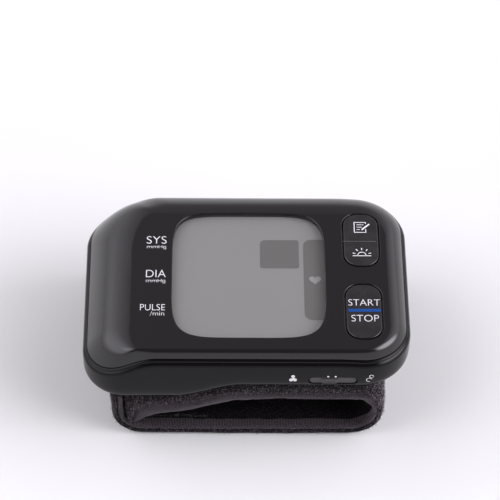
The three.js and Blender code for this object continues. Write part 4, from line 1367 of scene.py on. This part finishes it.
def resampled(line, count):
    """The same line with evenly spaced points."""
    lengths = [0]
    for a, b in zip(line, line[1:]):
        lengths.append(lengths[-1] + math.dist(a, b))
    points = []
    k = 0
    for i in range(count):
        want = lengths[-1] * i / (count - 1)
        while k < len(line) - 2 and lengths[k + 1] < want:
            k += 1
        t = (want - lengths[k]) / max(lengths[k + 1] - lengths[k], 1e-9)
        points.append(tuple(a + (b - a) * t for a, b in zip(line[k], line[k + 1])))
    return points


def under_line(start, end, below, steps=40):
    """A line that follows the casing's underside from below."""
    xs = [start + (end - start) * i / steps for i in range(steps + 1)]
    return [(x, underside(x) - below) for x in xs]


def curve_down(end, steps=16):
    """The padded part's inner line at the left, which leaves the underside's line and bends to the tip."""
    drop = underside(end[0]) - PAD_BELOW - end[1]
    shares = [i / steps for i in range(steps + 1)]
    xs = [PAD_INNER_LEFT + (end[0] - PAD_INNER_LEFT) * share for share in shares]
    return [(x, underside(x) - PAD_BELOW - drop * share ** 2) for x, share in zip(xs, shares)]


heel = (CUFF_LEFT + HEEL_RADIUS, STRAP_BOTTOM + STRAP_THICKNESS + FIT + HEEL_RADIUS)
tip = curve_line(heel, (4.2, 4.2), 223, 180)[0]
tip_end = curve_line(tip, (TIP_RADIUS, TIP_RADIUS), 300, 262)
pad_tail = curve_down(tip_end[0])

# Each section is its outer line, its inner line and how many points both get.
pad_sections = [
    ([(CUFF_RIGHT, FOLD_Z + 0.05), *arc((32.6, CUFF_TOP - 7.4), (6, 7.4), 0, 90)],
     [(CUFF_RIGHT - 3, FOLD_Z + 0.05), *arc((31.1, CUFF_TOP - 12.4), (4.5, 4.4), 0, 90)], 18),
    (under_line(32.6, PAD_LEFT, FIT), [*under_line(31.1, PAD_INNER_LEFT, PAD_BELOW), *pad_tail[1:5]], 46),
    ([*under_line(PAD_LEFT, CUFF_LEFT + 2.5, FIT, 12),
      *arc((CUFF_LEFT + 2.5, -21.4), (2.5, 2.5), 90, 180, 6)[1:],
      *arc(heel, (HEEL_RADIUS, HEEL_RADIUS), 180, 223)], pad_tail[4:], 24),
    (curve_line(tip, (TIP_RADIUS, TIP_RADIUS), 223, 256, 6), tip_end, 5),
]
toe = (CUFF_RIGHT - TOE_RADIUS, FOLD_Z - 0.05)
strap_inner_left = STRAP_LEFT + STRAP_THICKNESS
strap_sections = [
    (arc(toe, (TOE_RADIUS, TOE_RADIUS), 0, -90), arc(toe, (6.85, 6.25), 0, -90), 20),
    ([(toe[0], STRAP_BOTTOM), (heel[0], STRAP_BOTTOM)],
     [(toe[0], STRAP_BOTTOM + STRAP_THICKNESS), (heel[0], STRAP_BOTTOM + STRAP_THICKNESS)], 40),
    ([*arc(heel, (STRAP_HEEL, STRAP_HEEL), 270, 180), (STRAP_LEFT, -20.4)],
     [*arc(heel, (5.8, 5.8), 270, 180), (strap_inner_left, -20.4)], 22),
    ([(STRAP_LEFT, -20.4), (STRAP_LEFT + 0.5, -19.5), (STRAP_LEFT + 1.2, -19.25)],
     [(strap_inner_left, -20.4), (strap_inner_left - 0.5, -19.5), (strap_inner_left - 1.2, -19.25)], 5),
]


def section_lines(sections):
    """A band's whole outer and inner lines. Where two sections meet, the point is taken once."""
    outer, inner = [], []
    for number, (outer_line, inner_line, count) in enumerate(sections, 1):
        kept = count if number == len(sections) else count - 1
        outer += resampled(outer_line, count)[:kept]
        inner += resampled(inner_line, count)[:kept]
    return outer, inner


# %% Cross-section of the cuff
CUFF_HALF = 30.5
GROOVE_ACROSS = CUFF_HALF - 1.1
GROOVE_SHARE = 0.47
NOTCH_ACROSS = 26.6
BINDING_WIDTH = 2.3


def rim_profile():
    """The right half of the section: (distance across, height share from the inner side to the outer),
    from the middle of the outer side round the rim to the middle of the inner side. The numbers are the
    two rolls of the rim, with the groove between them, and a shallow notch where the binding ends."""
    points = [(across, 1 - 0.03 * (across / 27) ** 2) for across in (0, 5, 10, 15, 19, 22, 24.5, 26.2)]
    for angle in (75, 60, 45, 30, 15, 0, -15, -30):
        c, s = math.cos(math.radians(angle)), math.sin(math.radians(angle))
        points.append((CUFF_HALF - 2.6 + 2.6 * c, 0.68 + 0.30 * s))
    points.append((GROOVE_ACROSS, GROOVE_SHARE))
    for angle in (55, 35, 15, 0, -20, -40, -60, -80):
        c, s = math.cos(math.radians(angle)), math.sin(math.radians(angle))
        points.append((CUFF_HALF - 1.9 + 1.75 * c, 0.235 + 0.22 * s))
    points += [(27.2, 0.03), (NOTCH_ACROSS, 0.09), (26.0, 0.03)]
    return points + [(across, 0) for across in (24.8, 22, 18, 13, 8, 3)]


def band_ring(outer, inner):
    """The whole section at one station, between a point of the outer line and one of the inner line."""
    profile = rim_profile()
    ring = []
    for side, points in ((1, profile), (-1, reversed(profile[1:]))):
        for across, share in points:
            x = inner[0] + (outer[0] - inner[0]) * share
            z = inner[1] + (outer[1] - inner[1]) * share
            ring.append((x, side * across, z))
    return ring


def finish_number(across, share):
    """0 where the section is loop fabric, 1 where it is binding, 2 where it is the lining."""
    if share > GROOVE_SHARE + 0.01:
        return 0
    return 1 if across > GROOVE_ACROSS - BINDING_WIDTH else 2


def make_band(name, sections):
    """A fabric band through all its stations, closed at both ends."""
    rings = [band_ring(*pair) for pair in zip(*section_lines(sections))]
    count = len(rings[0])
    points = [place(*point) for ring in rings for point in ring]
    numbers = [finish_number(*point) for point in rim_profile()]
    numbers += list(reversed(numbers[1:]))
    faces = []
    finish_numbers = []
    for k in range(len(rings) - 1):
        for i in range(count):
            a, b = k * count + i, k * count + (i + 1) % count
            faces.append((a, a + count, b + count, b))
            pair = (numbers[i], numbers[(i + 1) % count])
            finish_numbers.append(0 if 0 in pair else max(pair))
    for base in (0, (len(rings) - 1) * count):
        faces.append([base + i for i in range(count)])
        finish_numbers.append(0)
    return object_from(name, points, faces, finish_numbers)


def finish_band(piece):
    """Gives a band its three fabrics, in the order of finish_number."""
    for fabric in (finishes["cuff_fabric"], binding, shade_darkened_lining):
        piece.data.materials.append(fabric)
    shade_round(piece)


CLOTH_FRAMES = 20
FLAT_HALF = 23
CLOTH = {
    "quality": 8,
    "mass": 0.0002,
    "tension_stiffness": 0.5,
    "compression_stiffness": 0.5,
    "shear_stiffness": 0.2,
    "bending_stiffness": 0.02,
    "vertex_group_mass": "held",
    "use_pressure": True,
    "uniform_pressure_force": 4,
}


def puff(piece, cap):
    """Blows a band up as cloth. Its ends, flat middle and stitched lines stay, and no point moves past
    the cap, in millimetres. The mass is tiny because the pieces are: air has to be able to move them."""
    rest = [vertex.co.copy() for vertex in piece.data.vertices]
    ring_size = 2 * len(rim_profile()) - 1
    held = []
    for i, at in enumerate(rest):
        across = abs(at.y) / MM
        stitched = min(abs(across - GROOVE_ACROSS), abs(across - NOTCH_ACROSS)) < 0.02
        if stitched or across < FLAT_HALF or i < ring_size or i >= len(rest) - ring_size:
            held.append(i)
    piece.vertex_groups.new(name="held").add(held, 1.0, "REPLACE")
    cloth = piece.modifiers.new("padding", "CLOTH")
    cloth.point_cache.frame_start = 1
    cloth.point_cache.frame_end = CLOTH_FRAMES
    for key, value in CLOTH.items():
        setattr(cloth.settings, key, value)
    cloth.settings.effector_weights.gravity = 0
    for number in range(1, CLOTH_FRAMES + 1):
        bpy.context.scene.frame_set(number)
    settle(piece)
    bpy.context.scene.frame_set(1)
    moves = []
    for vertex, start in zip(piece.data.vertices, rest):
        move = vertex.co - start
        moves.append(move.length / MM)
        if move.length > cap * MM:
            vertex.co = start + move.normalized() * cap * MM
        vertex.co.z = max(vertex.co.z, 0)
    piece.vertex_groups.clear()
    print(piece.name, "swelled by up to", round(max(moves), 3), "mm, kept under", cap)


pad = make_band("cuff_pad", pad_sections)
puff(pad, 0.5)
finish_band(pad)
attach(pad, "monitor")
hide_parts("cuff_cover")

strap = make_band("cuff_wrap", strap_sections)
puff(strap, 0.25)
finish_band(strap)
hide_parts("cuff_strap")
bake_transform(strap)
print("cuff bands:", len(pad.data.polygons), "and", len(strap.data.polygons), "faces")

# %% [markdown]
# ## Stitches and pile
#
# The binding is sewn on in the groove, with a short thread bit every few millimetres. Loop fabric has loose
# loops that catch the light at its edges. Hair particles could grow them, but a few thousand thin blades in
# one mesh stay the same in every program. Both lie on the finished bands.

# %% Sew and roughen the bands
STITCH_PITCH = 2.6
STITCH_SIDES = 6
STITCH_RINGS = ((0.05, 0.04), (0.3, 0.15), (0.9, 0.15), (1.15, 0.04))
BLADE_HALF = 0.05


def stitch_line(name, sections):
    """Bits of thread along the groove at both rims of a band. Each is four rings: the share of the way
    from its start to its end, and a radius."""
    outer, inner = section_lines(sections)
    line = [tuple(i + (o - i) * GROOVE_SHARE for o, i in zip(a, b)) for a, b in zip(outer, inner)]
    length = sum(math.dist(a, b) for a, b in zip(line, line[1:]))
    stops = resampled(line, 2 * round(length / STITCH_PITCH) + 1)
    points, faces = [], []
    for side in (1, -1):
        for (x1, z1), (x2, z2) in zip(stops[0::2], stops[1::2]):
            base = len(points)
            for share, radius in STITCH_RINGS:
                x, z = x1 + (x2 - x1) * share, z1 + (z2 - z1) * share
                for k in range(STITCH_SIDES):
                    angle = 2 * math.pi * k / STITCH_SIDES
                    across = GROOVE_ACROSS + 0.12 + radius * math.cos(angle)
                    points.append(place(x, side * across, z + radius * math.sin(angle)))
            starts = [base + STITCH_SIDES * k for k in range(len(STITCH_RINGS))]
            for start, next_start in zip(starts, starts[1:]):
                for i in range(STITCH_SIDES):
                    j = (i + 1) % STITCH_SIDES
                    faces.append((start + i, start + j, next_start + j, next_start + i))
            faces += [tuple(start + i for i in range(STITCH_SIDES)) for start in (starts[0], starts[-1])]
    piece = object_from(name, points, faces)
    shade_round(piece)
    piece.data.materials.append(thread)
    return piece


def pile_on(name, band, count, seed):
    """Thin curled blades on the loop fabric of a band's rims and bends, where they show. The right bend
    gets more of them, and none leans far enough up or down to reach the casing or the ground."""
    chance = random.Random(seed)
    mesh = band.data
    shown = [p for p in mesh.polygons if p.material_index == 0 and -0.6 < p.normal.z < 0.75
             and (abs(p.center.y) > 25 * MM or abs(p.center.x) > 36 * MM)]
    # Five times as many pale blades at the right end: painted light, for light falling from that side.
    chosen = chance.choices(shown, [p.area * (5 if p.center.x > 33 * MM else 1) for p in shown], k=count)
    points, faces = [], []
    for polygon in chosen:
        corners = [mesh.vertices[i].co for i in polygon.vertices]
        weights = [chance.random() for _ in corners]
        root = sum((c * w for c, w in zip(corners, weights)), Vector()) / sum(weights)
        aside = Vector([chance.uniform(-1, 1) for _ in range(3)])
        lean = (polygon.normal + aside * 0.75).normalized()
        lean.z = min(max(lean.z, -0.45), 0.45)
        across = lean.cross(aside).normalized() * BLADE_HALF * MM
        reach = chance.uniform(0.35, 0.95) * MM
        bend = aside.cross(lean).normalized() * reach * 0.35
        base = len(points)
        middle = root + lean * reach * 0.6 + bend * 0.6
        points += [root - across, root + across, middle + across * 0.8, middle - across * 0.8]
        points.append(root + lean * reach + bend * 1.6)
        faces += [(base, base + 1, base + 2, base + 3), (base + 3, base + 2, base + 4)]
    piece = plain_mesh(name, points, faces)
    piece.data.materials.append(pile)
    return piece


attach(stitch_line("pad_stitches", pad_sections), "monitor")
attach(pile_on("pad_pile", pad, 8000, 3), "monitor")
for soft in (stitch_line("strap_stitches", strap_sections), pile_on("strap_pile", strap, 4000, 5)):
    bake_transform(soft)
print("stitches and pile on both bands")

# %% [markdown]
# ## Floor, light and background
#
# A glossy black object is drawn by what it reflects. Broad glows stand low at both sides of a dome, so the
# sloped end and the rolled edges catch them and the flat face does not: it mirrors the dark part above and
# behind it. Near the horizon the dome takes the floor's brightness, as a studio's curved backdrop does, so
# that no edge runs through the reflections. Two soft boxes light the fabric and the display.

# %% Make the floor
floor_finish = Finish("floor_pale")
floor_tone = floor_finish.mix(floor_finish.grain(60, 3), (0.75, 0.75, 0.74), (0.78, 0.78, 0.77))
floor_finish.surface({"Base Color": floor_tone, "Roughness": 0.85 + floor_finish.grain(4, 2) * 0.1})
floor = plain_mesh("floor", [(-4, -4, 0), (4, -4, 0), (4, 4, 0), (-4, 4, 0)], [(0, 1, 2, 3)])
floor.data.materials.append(floor_finish.material)


# %% Set the lamps and the dome
def soft_box(name, at, aim, size, brightness, tint=(1, 1, 1)):
    """A square lamp of an even brightness, where 1 looks white when it is seen in a mirror."""
    lamp = bpy.data.lights.new(name, "AREA")
    lamp.shape = "RECTANGLE"
    lamp.size, lamp.size_y = size
    lamp.energy = brightness * math.pi * size[0] * size[1]
    lamp.color = tint
    box = bpy.data.objects.new(name, lamp)
    bpy.context.scene.collection.objects.link(box)
    box.location = at
    box.rotation_mode = "QUATERNION"
    box.rotation_quaternion = (Vector(aim) - Vector(at)).to_track_quat("-Z", "Y")
    print(name, round(lamp.energy, 2), "W")


LAMP_AIM = (0, 0, 0.03)
LAMP_SIZE = (0.6, 0.6)
LAMP_BRIGHTNESS = 0.9
soft_box("high_left", (-0.65, -0.22, 0.75), LAMP_AIM, LAMP_SIZE, LAMP_BRIGHTNESS)
soft_box("high_right", (0.65, -0.22, 0.75), LAMP_AIM, LAMP_SIZE, LAMP_BRIGHTNESS, (0.97, 0.98, 1))

# Each glow is its direction, the angles at which it starts and is full, and its colour.
glows = [
    ((0, 1, 0.25), 60, 10, (0.42, 0.40, 0.43)),
    ((0, -1, 0.5), 55, 10, (0.16, 0.155, 0.16)),
    ((-1, 0.3, 0.3), 70, 12, (1.42, 1.39, 1.50)),
    ((1, 0.25, 0.1), 70, 15, (1.60, 1.57, 1.70)),
    ((-0.95, -0.05, 0.3), 52, 5, (2.55, 2.50, 2.70)),
    ((0.94, -0.20, 0.33), 36, 8, (7.5, 7.4, 8.0)),
]
world = bpy.data.worlds.new("dome")
bpy.context.scene.world = world
world.use_nodes = True
dome = Graph(world.node_tree)
direction = dome.node("ShaderNodeTexCoord", {}, {})["Generated"]
upward = dome.axis(direction, "Z")
tone = dome.mix(dome.step(upward, 0.21, 0.57), (0.32, 0.31, 0.33), (0.25, 0.24, 0.25))
for centre, edge, core, colour in glows:
    vectors = {0: direction, 1: Vector(centre).normalized()}
    nearness = dome.node("ShaderNodeVectorMath", {"operation": "DOT_PRODUCT"}, vectors)["Value"]
    share = dome.step(nearness, math.cos(math.radians(edge)), math.cos(math.radians(core)))
    tone = dome.mix(share, tone, colour)
tone = dome.mix(dome.step(upward, 0, 0.28), (1.00, 0.99, 1.01), tone)
sky = dome.node("ShaderNodeBackground", {}, {"Color": tone, "Strength": 1.0})["Background"]
dome.node("ShaderNodeOutputWorld", {}, {"Surface": sky})
bpy.context.scene.view_settings.view_transform = "Standard"
